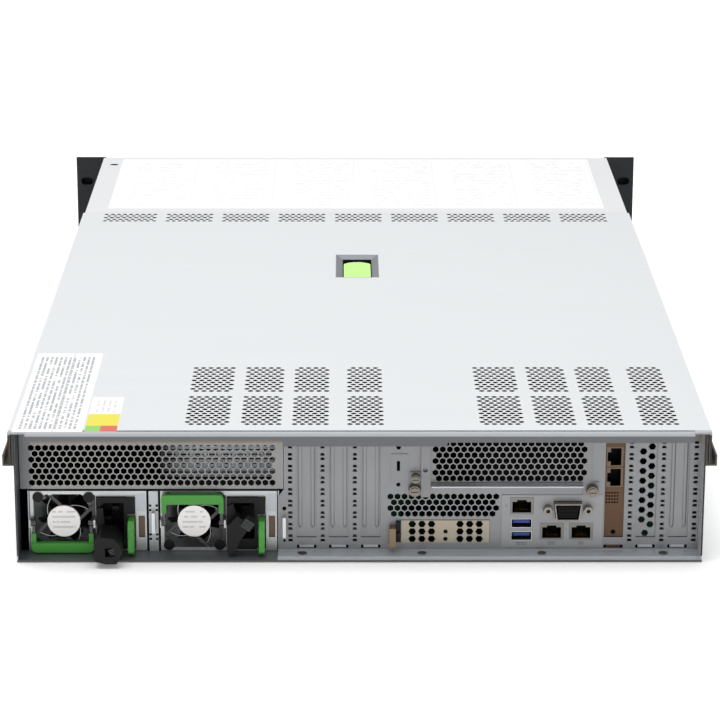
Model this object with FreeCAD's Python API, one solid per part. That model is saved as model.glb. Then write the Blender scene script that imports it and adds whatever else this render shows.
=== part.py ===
import FreeCAD, Part
import math
import os

# Two-unit rack server.  Millimetres.  +Z is up, the front of the machine looks
# along -Y, the rear along +Y.  The origin is the centre of the underside.

V = FreeCAD.Vector

# ---------------------------------------------------------------- driving sizes
body_width = 431.0          # outside of the folded chassis walls
height = 86.9               # underside to the top of the rear cover
depth = 746.0               # rack-ear plane to the rear lip of the cover
floor_t = 1.2               # chassis floor sheet
wall_t = 1.0                # chassis side walls
cover_t = 1.2               # top covers
panel_t = 1.0               # rear panels
seat_gap = 0.3              # gap between a moving piece and what carries it
run_gap = 0.6               # free gap round a sliding piece
front_y = -depth / 2
rear_y = depth / 2
tray_rear_y = rear_y - 3.0  # floor and walls stop just short of the lip
panel_recess = 19.5         # rear panel sits this far inside the lip
panel_y = rear_y - panel_recess
wall_x = body_width / 2
wall_in = wall_x - wall_t
cover_under = height - cover_t

# covers
seam_y = front_y + 193.0
seam_gap = 1.4
cover_half = 218.5
flange_drop = 19.7
lip_half = 208.0
lip_drops = (6.9, 6.6, 9.1, 5.4)   # right end, notch, middle, above the grille
notch_x0, notch_x1 = -144.0, -54.3
lip_step_x = 48.0
lip_bend = 4.2
front_cover_drop = 0.3
front_cover_half = 217.3
front_flange_drop = 15.0
vent_af = 3.3               # vent hole across flats
vent_pitch = 4.9
strip_pitch, strip_row = 4.85, 5.2
latch_w, latch_d = 32.0, 64.4
latch_y = front_y + 355.2

# side rails
rail_t = 1.2
rail_half = 222.5
rail_z = 64.0
rail_leg = 7.0

# rear grilles
hex_af = 3.65
hex_pitch = 4.45
hex_row = hex_pitch * math.cos(math.radians(30))
grille_x0, grille_x1 = 48.1, 213.9
grille_z0 = 43.0
panel_top = cover_under - 0.8
slot_pitch = 20.32
slot_open = 12.3
slot_z = 10.4
left_slot_x = 33.55
right_slot_x = -160.8
bracket_w = 18.4
bracket_t = 0.9
bracket_z0 = 3.2
bracket_top = 82.2
bead_w, bead_h, bead_offset = 2.7, 0.8, 3.92
ledge_t = 1.0
ledge_depth = 12.5

# power supplies
psu_w, psu_h, psu_len = 73.5, 40.0, 185.0
psu_z = floor_t + seat_gap
psu_1_x = 208.1             # outboard side of each supply
psu_2_x = 125.8
psu_t = 0.8
fan_u = 21.2                # fan centre, measured inboard from the outboard side
fan_hole = 32.0             # spacing of the fan's four screws
fan_r = 17.6
hub_r = 10.4
bail_reach = 19.2
bail_u0, bail_u1 = 0.9, 40.1
bail_pivot_out = 3.5
release_u = 62.3
release_w = 3.6
release_z0, release_z1 = psu_z + 1.6, psu_z + 23.0

# inside
board_z = 6.4
board_t = 1.6
fan_size = 80.0
fan_depth = 38.0
fan_y = front_y + 208.0
bore_r = 38.0
drive_w, drive_h = 101.6, 26.1
bay_pitch = 107.0
face_y = front_y - 18.0     # fronts of the drive carriers
ear_half = 241.2
ear_top = 83.0


# ---------------------------------------------------------------- helpers
def block(x0, x1, y0, y1, z0, z1):
    return Part.makeBox(x1 - x0, y1 - y0, z1 - z0, V(x0, y0, z0))


def rod(x, y, z, r, length, axis):
    return Part.makeCylinder(r, length, V(x, y, z), V(*axis))


def polygon(points):
    return Part.makePolygon(list(points) + [points[0]])


def hexagon(a, b, across_flats, place, turn=30):
    r = across_flats / 2 / math.cos(math.radians(30))
    angles = [math.radians(60 * k + turn) for k in range(6)]
    return polygon([place(a + r * math.cos(t), b + r * math.sin(t)) for t in angles])


def rect(a0, a1, b0, b1, place):
    return polygon([place(a0, b0), place(a1, b0), place(a1, b1), place(a0, b1)])


def ring(a, b, r, place, sides=16):
    angles = [2 * math.pi * (k + 0.5) / sides for k in range(sides)]
    return polygon([place(a + r * math.cos(t), b + r * math.sin(t)) for t in angles])


def long_hole(a0, a1, b0, b1, place):
    """Round-ended hole that runs along the first direction."""
    r, m = (b1 - b0) / 2, (b0 + b1) / 2
    left = Part.Arc(place(a0 + r, b1), place(a0, m), place(a0 + r, b0)).toShape()
    right = Part.Arc(place(a1 - r, b0), place(a1, m), place(a1 - r, b1)).toShape()
    return Part.Wire([left, Part.makeLine(place(a0 + r, b0), place(a1 - r, b0)), right,
                      Part.makeLine(place(a1 - r, b1), place(a0 + r, b1))])


def sheet(outline, holes, thickness):
    """A flat sheet: one outline and holes drawn the same way round, extruded."""
    for hole in holes:
        hole.reverse()
    return Part.Face([outline] + holes).extrude(thickness)


def at_z(z):
    return lambda x, y: V(x, y, z)


def at_y(y):
    return lambda x, z: V(x, y, z)


def at_x(x):
    return lambda y, z: V(x, y, z)


def profile(points, place, thickness):
    return Part.Face(polygon([place(*p) for p in points])).extrude(thickness)


def join(solids):
    result = solids[0]
    if len(solids) > 1:
        result = result.multiFuse(solids[1:])
    return result.removeSplitter()


def cut(solid, tools):
    return solid.cut(tools) if tools else solid


def hex_field(x0, x1, z0, rows, pitch, row, af, place, wide_first=True):
    """Staggered hexagonal holes between x0 and x1, rows climbing from z0."""
    count = int((x1 - x0 - af) / pitch + 1e-6) + 1
    start = (x0 + x1) / 2 - (count - 1) * pitch / 2
    holes = []
    for r in range(rows):
        wide = (r % 2 == 0) == wide_first
        n = count if wide else count - 1
        shift = 0 if wide else pitch / 2
        for c in range(n):
            holes.append(hexagon(start + shift + c * pitch, z0 + r * row, af, place))
    return holes


parts = {}


def keep(name, *solids):
    parts[name] = solids[0] if len(solids) == 1 else Part.makeCompound(list(solids))


# ---------------------------------------------------------------- chassis
def chassis_tray():
    outline = [(-wall_x, 0), (wall_x, 0), (wall_x, cover_under - front_cover_drop),
               (wall_in, cover_under - front_cover_drop), (wall_in, floor_t),
               (-wall_in, floor_t), (-wall_in, cover_under - front_cover_drop),
               (-wall_x, cover_under - front_cover_drop)]
    tray = profile(outline, at_y(front_y), V(0, tray_rear_y - front_y, 0))
    holes = [Part.Face(ring(x, panel_y + 7.0, 1.6, at_z(-1))).extrude(V(0, 0, 4)) for x in ledge_screw_xs]
    return cut(tray, holes)


def side_rail(side):
    x = [side * v for v in (wall_x, wall_x + rail_t, rail_half - rail_t, rail_half)]
    lengths = ((front_y, seam_y, rail_z + 6.0), (seam_y, tray_rear_y, cover_under - 1.0))
    solids = []
    for start, end, top in lengths:
        points = [(x[0], rail_z), (x[3], rail_z), (x[3], rail_z + rail_leg), (x[2], rail_z + rail_leg),
                  (x[2], rail_z + rail_t), (x[1], rail_z + rail_t), (x[1], top), (x[0], top)]
        solids.append(profile(points, at_y(start), V(0, end - start, 0)))
    return join(solids)


def front_cover():
    top = height - front_cover_drop
    under = top - cover_t
    oval = [at_z(under)(206.6 + 3.7 * math.cos(t), front_y + 25.7 + 2.6 * math.sin(t))
            for t in [math.pi * k / 8 for k in range(16)]]
    h = front_cover_half
    skin = sheet(rect(-h, h, front_y, seam_y, at_z(under)), [polygon(oval)], V(0, 0, cover_t))
    flanges = [block(min(s * h, s * (h - cover_t)), max(s * h, s * (h - cover_t)),
                     front_y, seam_y, under - front_flange_drop, under) for s in (-1, 1)]
    return [skin] + flanges


def vent_patch(centre, y0, count, rows, place, pitch, row, narrow_first=False):
    """`count` may end in .5: then every row has the same holes, shifted in turn."""
    whole = int(count)
    even_rows = count != whole
    holes = []
    for r in range(rows):
        odd = (r + narrow_first) % 2
        n = whole if even_rows or not odd else whole - 1
        left = centre - (count - 1) * pitch / 2 + odd * pitch / 2
        for c in range(n):
            holes.append(hexagon(left + c * pitch, y0 + r * row, vent_af, place))
    return holes


def vent_bands(start):
    """Strips of the cover sheet, each with its own vent patches."""
    place = at_z(cover_under)
    rise = V(0, 0, cover_t)
    split = front_y + 224.0
    blocks = []
    edges = [-cover_half] + [-1.5 + 44.75 * (k - 3.5) for k in range(8)] + [cover_half]
    for k in range(9):
        centre = 180.0 if k == 8 else -1.5 + 44.75 * (k - 4)
        holes = vent_patch(centre, front_y + 199.4, 9 if k == 8 else 8, 5, place, strip_pitch, strip_row)
        blocks.append(sheet(rect(edges[k], edges[k + 1], start, split, place), holes, rise))
    latch = rect(-latch_w / 2, latch_w / 2, latch_y - latch_d / 2, latch_y + latch_d / 2, place)
    rear_split = front_y + 600.0
    blocks.append(sheet(rect(-cover_half, cover_half, split, rear_split, place), [latch], rise))
    return blocks + rear_vents(rear_split, place, rise)


def rear_vents(rear_split, place, rise):
    group_shift = 184.7
    columns = ((96.0, 6), (62.2, 5.5), (31.3, 5), (-3.2, 5))
    centres = sorted((c - shift, n) for c, n in columns for shift in (0, group_shift))
    edges = [-cover_half] + [(a[0] + b[0]) / 2 for a, b in zip(centres, centres[1:])] + [cover_half]
    rows = ((rear_split, front_y + 611.7, 12, 4.53), (front_y + 667.4, front_y + 674.2, 14, 4.24))
    blocks = []
    for band, (y0, first, count, row) in enumerate(rows):
        y1 = rows[1][0] if band == 0 else rear_y - lip_bend
        for k, (centre, n) in enumerate(centres):
            holes = vent_patch(centre - 0.4, first, n, count, place, vent_pitch, row, n != 6)
            blocks.append(sheet(rect(edges[k], edges[k + 1], y0, y1, place), holes, rise))
    for x0, x1 in ((-cover_half, -lip_half), (lip_half, cover_half)):
        blocks.append(block(x0, x1, rear_y - lip_bend, rear_y, cover_under, height))
    return blocks


def top_cover():
    start = seam_y + seam_gap
    bands = vent_bands(start)
    skin = bands[0].multiFuse(bands[1:] + cover_flanges(start) + cover_lip(lip_bend))
    return skin.Solids


def cover_flanges(start):
    solids = []
    for side in (-1, 1):
        x = sorted((side * cover_half, side * (cover_half - cover_t)))
        solids.append(block(x[0], x[1], start, rear_y - 0.2, cover_under - flange_drop, cover_under))
    return solids


def cover_lip(bend):
    """The rear lip: a bend in flat facets, then a drop that changes along the width."""
    steps = [math.radians(a) for a in (90, 67.5, 45, 22.5, 0)]
    cy, cz = rear_y - bend, height - bend
    outer = [(cy + bend * math.cos(a), cz + bend * math.sin(a)) for a in steps]
    inner_r = bend - cover_t
    inner = [(cy + inner_r * math.cos(a), cz + inner_r * math.sin(a)) for a in reversed(steps)]
    solids = []
    stops = (-lip_half, notch_x0, notch_x1, lip_step_x, lip_half)
    for x0, x1, drop in zip(stops, stops[1:], lip_drops):
        low = height - drop
        points = outer + [(rear_y, low), (rear_y - cover_t, low)] + inner
        solids.append(profile(points, at_x(x0), V(x1 - x0, 0, 0)))
    return [join(solids)]


def latch_frame():
    """Bevelled frame set flush in the cover, with the pocket that holds the lever."""
    z = height
    low = z - 9.0
    hw, hd = latch_w / 2, latch_d / 2
    collar = block(-hw, hw, latch_y - hd, latch_y + hd, cover_under, z)
    flange = block(-hw - 3, hw + 3, latch_y - hd - 3, latch_y + hd + 3, cover_under - 1.0, cover_under)
    pocket = block(-hw + 3.2, hw - 3.2, latch_y - hd + 3.2, latch_y + hd - 3.2, low, cover_under)
    iw, id0, id1 = latch_pocket
    hollow = block(-iw, iw, id0, id1, low + 1.0, z + 1)
    bevel = Part.makeLoft([rect(-hw + 1.0, hw - 1.0, latch_y - hd + 0.9, latch_y + hd - 0.8, at_z(z)),
                           rect(-iw, iw, id0, id1, at_z(z - 2.6))], True, True)
    bore = rod(-iw - 1.8, latch_axis_y, latch_axis_z, 1.06, 2 * iw + 3.6, (1, 0, 0))
    return cut(join([collar, flange, pocket]), [hollow, bevel, bore])


latch_pocket = (10.8, latch_y - 27.6, latch_y + 28.5)
latch_axis_y = latch_y + 25.3
latch_axis_z = height - 3.8


def cover_latch():
    """Lever with a curved front edge and a hinge pin at its rear end."""
    w = 10.0
    front, rear = latch_y - 16.8, latch_y + 27.5
    top = height - 1.6
    arc = [(-w, front + 6.5), (w, front + 6.5), (w - 0.8, front + 4.6), (6.6, front + 2.2),
           (2.4, front + 0.3), (-2.4, front + 0.3), (-6.6, front + 2.2), (-w + 0.8, front + 4.6)]
    outline = [(-w, rear), (w, rear)] + arc[1:] + arc[:1]
    plate = profile(outline, at_z(top - 2.4), V(0, 0, 2.4))
    lip = block(-w + 1.5, w - 1.5, front + 6.5, front + 8.5, top - 4.6, top - 2.4)
    knuckle = rod(-w, latch_axis_y, latch_axis_z, 2.0, 2 * w, (1, 0, 0))
    pin = rod(-w - 2.4, latch_axis_y, latch_axis_z, 1.0, 2 * w + 4.8, (1, 0, 0))
    return join([plate, lip, knuckle, pin])


# ---------------------------------------------------------------- rear panels
def grille_panel():
    place = at_y(panel_y - panel_t)
    holes = hex_field(52.4, 208.8, grille_z0 + 4.1, 7, hex_pitch, hex_row, hex_af, place)
    face = sheet(rect(grille_x0, grille_x1, grille_z0, panel_top, place), holes, V(0, panel_t, 0))
    return face


def vent_pairs(x, place):
    holes = []
    for k in range(9):
        z = 10.0 + 7.78 * k
        for dz in (-1.47, 1.47):
            holes.append(rect(x - 1.4, x + 1.4, z + dz - 0.85, z + dz + 0.85, place))
    return holes


def slot_xs(first):
    return [first - slot_pitch * k for k in range(3)]


def rear_panel():
    place = at_y(panel_y - panel_t)
    holes = []
    for x in slot_xs(left_slot_x) + slot_xs(right_slot_x):
        holes.append(rect(x - slot_open / 2, x + slot_open / 2, slot_z, panel_top - 5, place))
        holes.append(rect(x - slot_open / 2, x + slot_open / 2, 3.2, 5.4, place))
    vent_xs = [x + slot_pitch / 2 for x in slot_xs(left_slot_x)]
    vent_xs += [x - slot_pitch / 2 for x in slot_xs(right_slot_x)]
    for x in vent_xs:
        holes += vent_pairs(x, place)
    holes += hex_field(-88.6, -17.0, 26.2, 4, hex_pitch, hex_row, hex_af, place, False)
    holes += [ring(47.6, 29.8, 1.3, place), ring(47.6, 8.2, 0.9, place)]
    holes.append(rect(-82.4, -26.0, 6.8, 22.2, place))
    holes.append(rect(-151.0, -92.0, 6.6, 38.0, place))
    holes.append(rect(-145.8, -44.4, 47.4, panel_top - 4, place))
    holes.append(rect(-25.35, -23.35, 55.1, 61.6, place))
    holes.append(ring(-24.4, 45.8, 1.35, place))
    holes.append(ring(-24.4, 70.6, 1.5, place))
    holes += [ring(x, z, 1.95, place) for x, z, _ in thumbscrew_spots]
    outline = [(-wall_in, panel_top), (-wall_in, floor_t), (51.6, floor_t), (51.6, 37.6),
               (grille_x0 - 0.3, grille_z0 - 0.4), (grille_x0 - 0.3, panel_top)]
    face = sheet(polygon([place(*p) for p in outline]), holes, V(0, panel_t, 0))
    ledge_holes = [ring(x, panel_y + 7.0, 1.9, at_z(floor_t)) for x in ledge_screw_xs]
    ledge = sheet(rect(-wall_in, 51.6, panel_y, panel_y + ledge_depth, at_z(floor_t)),
                  ledge_holes, V(0, 0, ledge_t))
    return face, ledge


ledge_screw_xs = (36.1, -39.4, -115.2, -192.0)
thumbscrew_spots = ((-34.6, 43.2, 3.5), (-146.6, 42.6, 3.5), (-35.2, 51.2, 2.7))


def lock_plate():
    place = at_y(panel_y)
    slot = rect(-25.35, -23.35, 55.1, 61.6, place)
    return sheet(rect(-30.4, -19.5, 48.8, 66.3, place), [slot], V(0, 0.5, 0))


def bead(x):
    """Pressed rib with a facetted crown and a tapered lower end."""
    y = panel_y - panel_t
    low, high = 16.6, panel_top - 6
    h, w = bead_h, bead_w / 2
    ends = []
    for z, s in ((low, 0.35), (low + 1.6, 1.0), (high, 1.0)):
        pts = [(-w * s, 0), (-w * 0.8 * s, h * 0.6 * s), (-w * 0.35 * s, h * s),
               (w * 0.35 * s, h * s), (w * 0.8 * s, h * 0.6 * s), (w * s, 0)]
        ends.append(polygon([V(x + a, y - 0.1 + b, z) for a, b in pts]))
    return Part.makeLoft(ends, True, True)


def bracket(x, holes=(), beads=True):
    """Low-profile slot bracket: face, foot tongue and top flange."""
    y1 = panel_y - panel_t
    y0 = y1 - bracket_t
    place = at_y(y0)
    half, foot = bracket_w / 2, 4.6
    outline = [(x - half, bracket_top), (x - half, 8.6), (x - foot, 7.4), (x - foot, bracket_z0),
               (x + foot, bracket_z0), (x + foot, 7.4), (x + half, 8.6), (x + half, bracket_top)]
    face = sheet(polygon([place(*p) for p in outline]), list(holes), V(0, bracket_t, 0))
    flange = block(x - half, x + half, y0 - 10.0, y0, bracket_top - bracket_t, bracket_top)
    solids = [face, flange]
    if beads:
        solids += [bead(x - bead_offset), bead(x + bead_offset)]
    return join(solids)


def vented_bracket(x):
    place = at_y(panel_y - panel_t - bracket_t)
    holes = [hexagon(x - 2.72 if k % 2 == 0 else x + 2.72, 70.7 - 3.25 * k, 4.1, place, 0) for k in range(17)]
    holes.append(hexagon(x + 0.4, 12.9, 4.0, place, 0))
    return bracket(x, holes, beads=False)


def lan_bracket():
    x = right_slot_x
    place = at_y(panel_y - panel_t - bracket_t)
    holes = [rect(x - 5.3, x + 5.6, z, z + 13.2, place) for z in (43.6, 57.3)]
    holes.append(ring(x + 0.2, 13.6, 1.6, place))
    for r in range(4):
        for c in range(5):
            holes.append(rect(x - 2.6 + 1.75 * c, x - 1.5 + 1.75 * c, 33.0 + 2.1 * r, 34.1 + 2.1 * r, place))
    return bracket(x, holes, beads=False)


def jack(x, z, w, h, length, mouth_w, mouth_h, y1, turned=False):
    """Modular jack: a shell with a stepped mouth that opens to the rear."""
    shell = block(x - w / 2, x + w / 2, y1 - length, y1, z, z + h)
    deep = 11.0
    if turned:
        mouth = block(x - mouth_h / 2 - 0.6, x + mouth_h / 2 - 0.6, y1 - deep, y1 + 1,
                      z + (h - mouth_w) / 2, z + (h + mouth_w) / 2)
        key = block(x + mouth_h / 2 - 0.7, x + mouth_h / 2 + 1.4, y1 - deep, y1 + 1,
                    z + h / 2 - 3.0, z + h / 2 + 3.0)
    else:
        mouth = block(x - mouth_w / 2, x + mouth_w / 2, y1 - deep, y1 + 1, z + 0.9, z + 0.9 + mouth_h)
        key = block(x - 3.0, x + 3.0, y1 - deep, y1 + 1, z + 0.8 + mouth_h, z + mouth_h + 2.1)
    return cut(shell, [mouth, key])


def lan_card():
    """Two stacked jacks on an upright board whose edge sits in a slot socket."""
    y1 = panel_y - panel_t - bracket_t
    x = right_slot_x
    board_x = x - 7.2
    edge_z = board_z + board_t + 4.0
    outline = [(y1 - 0.6, 19.6), (y1 - 0.6, 70.5), (y1 - 120, 70.5), (y1 - 120, 19.6), (y1 - 104, 19.6),
               (y1 - 104, edge_z), (y1 - 48, edge_z), (y1 - 48, 19.6)]
    board = profile(outline, at_x(board_x), V(board_t, 0, 0))
    jacks = []
    for z in (43.7, 57.4):
        shell = jack(x + 0.15, z, 10.6, 13.0, 21.0, 11.4, 6.6, y1 + bracket_t, turned=True)
        foot = block(board_x + board_t, x - 5.0, y1 - 18.0, y1 - 4.0, z + 2.0, z + 11.0)
        jacks.append(join([shell, foot]))
    chip = block(board_x + board_t, board_x + board_t + 8.0, y1 - 80, y1 - 52, 28.0, 56.0)
    return [board, chip] + jacks


def pcie_sockets():
    y1 = panel_y - panel_t - bracket_t
    z0 = board_z + board_t
    solids = []
    for x in slot_xs(left_slot_x) + slot_xs(right_slot_x):
        bx = x - 7.2 + board_t / 2
        body = block(bx - 3.6, bx + 3.6, y1 - 106, y1 - 46, z0, z0 + 11.0)
        groove = block(bx - 1.0, bx + 1.0, y1 - 104.5, y1 - 47.5, z0 + 3.6, z0 + 12.0)
        solids.append(cut(body, [groove]))
    return solids


def riser_module():
    """Removable face with its hexagonal grille, hem, grip bar and inner tray."""
    place = at_y(panel_y)
    t = 0.8
    holes = hex_field(-145.0, -43.8, 50.2, 8, hex_pitch, hex_row, hex_af, place, False)
    face = sheet(rect(-147.0, -38.6, 47.6, panel_top, place), holes, V(0, t, 0))
    hem = profile([(panel_y, 44.4), (panel_y + 6.4, 45.8), (panel_y + 6.4, 46.6), (panel_y, 47.6)],
                  at_x(-140.6), V(95.4, 0, 0))
    bar = cut(block(-44.4, -38.6, panel_y + t, panel_y + t + 2.2, 38.4, panel_top),
              [rod(-41.2, panel_y, 56.4, 1.5, 10, (0, 1, 0))])
    foot = block(-44.4, -38.6, panel_y, panel_y + t, 38.4, 47.6)
    left_ear_tab = block(-38.6, -31.6, panel_y, panel_y + t, 38.9, 54.6)
    right_ear_tab = block(-151.0, -140.6, panel_y, panel_y + t, 38.9, 47.6)
    bolts = [rod(x, panel_y - 1, z, 1.95, 4.0, (0, 1, 0)) for x, z, _ in thumbscrew_spots]
    outer = cut(join([face, hem, bar, foot, left_ear_tab, right_ear_tab]), bolts)
    inside_y = panel_y - 150.0
    tray = join([block(-145.6, -44.6, inside_y, panel_y, 47.6, 48.0),
                 block(-145.6, -144.8, inside_y, panel_y, 47.6, 76.0),
                 block(-45.4, -44.6, inside_y, panel_y, 47.6, 76.0)])
    return [outer, tray]


def thumbscrew(x, z, y, r):
    head = rod(x, y, z, r, 5.2, (0, 1, 0))
    neck = rod(x, y + 5.2, z, r * 0.72, 0.9, (0, 1, 0))
    shank = rod(x, y - 6.0, z, 1.7, 6.0, (0, 1, 0))
    slot = block(x - r, x + r, y + 5.3, y + 7.0, z - 0.45, z + 0.45)
    return cut(join([head, neck, shank]), [slot])


def io_plate():
    place = at_y(panel_y)
    holes = [rect(x - w / 2, x + w / 2, z, z + h, place) for x, z, w, h in io_cutouts()]
    d_pts = [(-131.4 + a, 29.0 + b) for a, b in ((-9.1, 5.9), (-7.6, -5.7), (7.6, -5.7), (9.1, 5.9))]
    holes.append(polygon([place(*p) for p in d_pts]))
    holes += [ring(x, 29.7, 2.6, place) for x in jackscrew_xs]
    return sheet(rect(-153.6, -89.8, 4.2, 38.9, place), holes, V(0, 0.6, 0))


jackscrew_xs = (-118.8, -144.2)
rj_mouths = ((-102.4, 26.3, 14.6, 11.0), (-121.6, 9.2, 14.6, 11.0), (-140.2, 9.2, 14.6, 11.0))
usb_mouths = ((-102.4, 16.9, 13.4, 6.2), (-102.4, 8.4, 13.4, 6.2))


def io_cutouts():
    gap = 0.3
    return [(x, z - gap / 2, w + gap, h + gap) for x, z, w, h in rj_mouths + usb_mouths]


def network_jacks():
    solids = []
    for x, z, w, h in rj_mouths:
        shell = jack(x, z, w, h, 22.0, 11.9, 7.2, panel_y + 0.6)
        foot = block(x - w / 2 + 1, x + w / 2 - 1, panel_y - 20.0, panel_y - 2.0, z - 1.2, z)
        solids.append(join([shell, foot]))
    return solids


def usb_shell(x, z, w, h, length, y_mouth, facing):
    """Port shell with its tongue; `facing` is +1 for the rear and -1 for the front."""
    def along(a, b):
        return sorted((y_mouth - facing * a, y_mouth - facing * b))
    shell = block(x - w / 2, x + w / 2, *along(0, length), z, z + h)
    mouth = block(x - w / 2 + 0.4, x + w / 2 - 0.4, *along(-1, 9.5), z + 0.4, z + h - 0.4)
    tongue = block(x - 5.2, x + 5.2, *along(0.8, length), z + 3.1, z + 5.0)
    return join([cut(shell, [mouth]), tongue])


def usb_ports():
    """Two ports in one housing that stands on the board and carries the jack above."""
    y1 = panel_y + 0.6
    shells = [usb_shell(x, z, w, h, 18.0, y1, 1) for x, z, w, h in usb_mouths]
    x, z, w, h = usb_mouths[0]
    lower = usb_mouths[1][1]
    tops = ((board_z + board_t, lower), (lower + h, z), (z + h, rj_mouths[0][1] - 1.2))
    fill = [block(x - w / 2 + 0.5, x + w / 2 - 0.5, panel_y - 16.0, panel_y - 2.0, a, b) for a, b in tops]
    return [join(shells + fill)]


def video_port():
    """D-shaped shell, contact block with its fifteen holes, and two hex jackscrews."""
    y0 = panel_y - 14.0
    x, z = -131.4, 29.0
    shape = ((-8.8, 5.6), (-7.3, -5.4), (7.3, -5.4), (8.8, 5.6))
    inner = [(a * 0.90, b * 0.88) for a, b in shape]
    shell = profile([(x + a, z + b) for a, b in shape], at_y(y0), V(0, 20.0, 0))
    hollow = profile([(x + a, z + b) for a, b in inner], at_y(panel_y - 2.0), V(0, 10.0, 0))
    core = profile([(x + a * 0.86, z + b * 0.8) for a, b in inner], at_y(panel_y - 2.0), V(0, 7.4, 0))
    pins = [block(x + dx - 0.35, x + dx + 0.35, panel_y + 3.4, panel_y + 6, z + dz - 0.35, z + dz + 0.35)
            for dz, off in ((2.5, 0), (0.1, -0.6), (-2.3, 0)) for dx in [off - 4.4 + 2.2 * k for k in range(5)]]
    screws = []
    for sx in jackscrew_xs:
        nut = profile([(sx + 3.1 * math.cos(a), 29.7 + 3.1 * math.sin(a))
                       for a in [math.radians(60 * k) for k in range(6)]], at_y(panel_y + 0.6), V(0, 5.0, 0))
        shank = rod(sx, panel_y - 8.0, 29.7, 2.3, 8.6, (0, 1, 0))
        bore = rod(sx, panel_y, 29.7, 1.3, 8.0, (0, 1, 0))
        screws.append(cut(join([nut, shank]), [bore]))
    stand = block(x - 6.5, x + 6.5, y0, panel_y - 2.0, rj_mouths[1][1] + 11.0, z - 5.0)
    port = join([cut(shell, [hollow]), stand])
    return [port, cut(core, pins)] + screws


def module_cover():
    """Perforated cover of the network module slot with a pull tab beside it."""
    place = at_y(panel_y - panel_t)
    holes = []
    for x0 in (-33.3, -63.5):
        for z in (9.5, 14.5, 19.5):
            holes += [hexagon(x0 - 6.1 * c, z, 4.2, place, 0) for c in range(3)]
    holes += [hexagon(-54.4, z, 2.6, place, 0) for z in (9.5, 14.5)]
    face = sheet(rect(-82.2, -26.2, 7.0, 22.0, place), holes, V(0, 1.6, 0))
    sides = [block(-82.2, -26.2, panel_y - deep, panel_y - panel_t, z0, z0 + 0.8)
             for z0, deep in ((7.0, 7.6), (21.2, 30.0))]
    tab = join([block(-22.8, -18.8, panel_y, panel_y + 7.0, 5.6, 6.6),
                block(-22.8, -18.8, panel_y, panel_y + 7.0, 17.6, 18.6),
                block(-22.8, -18.8, panel_y + 6.0, panel_y + 7.0, 5.6, 18.6)])
    return [join([face] + sides), tab]


def flat_screw(x, y):
    """Flat head on the rear ledge with a cross recess."""
    z = floor_t + ledge_t
    head = Part.makeCone(2.6, 2.9, 0.5, V(x, y, z))
    shank = rod(x, y, 0.3, 1.5, z - 0.3, (0, 0, 1))
    cross = [block(x - 1.5, x + 1.5, y - 0.3, y + 0.3, z + 0.2, z + 1.2),
             block(x - 0.3, x + 0.3, y - 1.5, y + 1.5, z + 0.2, z + 1.2)]
    return cut(join([head, shank]), cross)


# ---------------------------------------------------------------- power supplies
def psu_cage():
    """Top plate, three walls, the folded divider face and a louvred baffle above."""
    y0 = panel_y - psu_len - 8.0
    y1 = panel_y
    top = psu_z + psu_h + run_gap
    left = psu_1_x + run_gap
    right = psu_2_x - psu_w - run_gap
    back = panel_y - panel_t
    plate = block(right - 0.8, left + 0.8, y0, back, top, top + 0.8)
    walls = [block(x, x + 0.8, y0, back, floor_t, top) for x in (left, right - 0.8)]
    d0, d1 = psu_2_x + run_gap, psu_1_x - psu_w - run_gap
    divider = [block(d0, d0 + 0.8, y0, y1, floor_t, top), block(d1 - 0.8, d1, y0, y1, floor_t, top)]
    face = block(d0 + 0.8, d1 - 0.8, y1 - 0.8, y1, floor_t, top)
    holes = [block(d0 + a, d0 + a + 1.5, y1 - 2, y1 + 1, z, z + 1.5)
             for a in (1.0, (d1 - d0) - 2.5) for z in (8.6, 11.6, 28.0, 31.0)]
    shell = cut(join([plate] + walls + divider + [face]), holes)
    mid = (d0 + d1) / 2
    loops = [wire_loop(mid, 21.2), wire_loop(47.6, 18.0)]
    baffle_y = panel_y - 22.0
    place = at_y(baffle_y)
    slots = [rect(54.0 + 9.0 * c, 61.0 + 9.0 * c, 46.0 + 3.0 * r, 47.2 + 3.0 * r, place)
             for c in range(8) for r in range(10)]
    baffle = sheet(rect(50.0, 128.0, top + 0.8, 78.0, place), slots, V(0, 0.8, 0))
    return [shell, baffle] + loops


def wire_loop(x, z):
    """Closed oval eye that stands out of the divider."""
    r, half, bar = 2.3, 4.4, 1.0
    y = panel_y
    outer = join([block(x - bar, x + bar, y, y + 4.0, z - half - r, z + half + r)])
    inner = block(x - 2 * bar, x + 2 * bar, y, y + 2.6, z - half - r + 1.6, z + half + r - 1.6)
    return cut(outer, [inner])


def psu_case(x_out):
    x0, x1 = x_out - psu_w, x_out
    y1 = panel_y - 1.2
    y0 = y1 - psu_len
    shell = block(x0, x1, y0, y1, psu_z, psu_z + psu_h)
    inner = block(x0 + psu_t, x1 - psu_t, y0 + psu_t, y1 + 1, psu_z + psu_t, psu_z + psu_h - psu_t)
    tail = block(x0 + 16, x1 - 16, y0 - 6.0, y0, psu_z + 8.0, psu_z + 9.6)
    rx, ry = release_axis(x_out)
    return [cut(shell, [inner, rod(rx, ry, 0, 1.06, 5.0, (0, 0, 1))]), tail]


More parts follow.
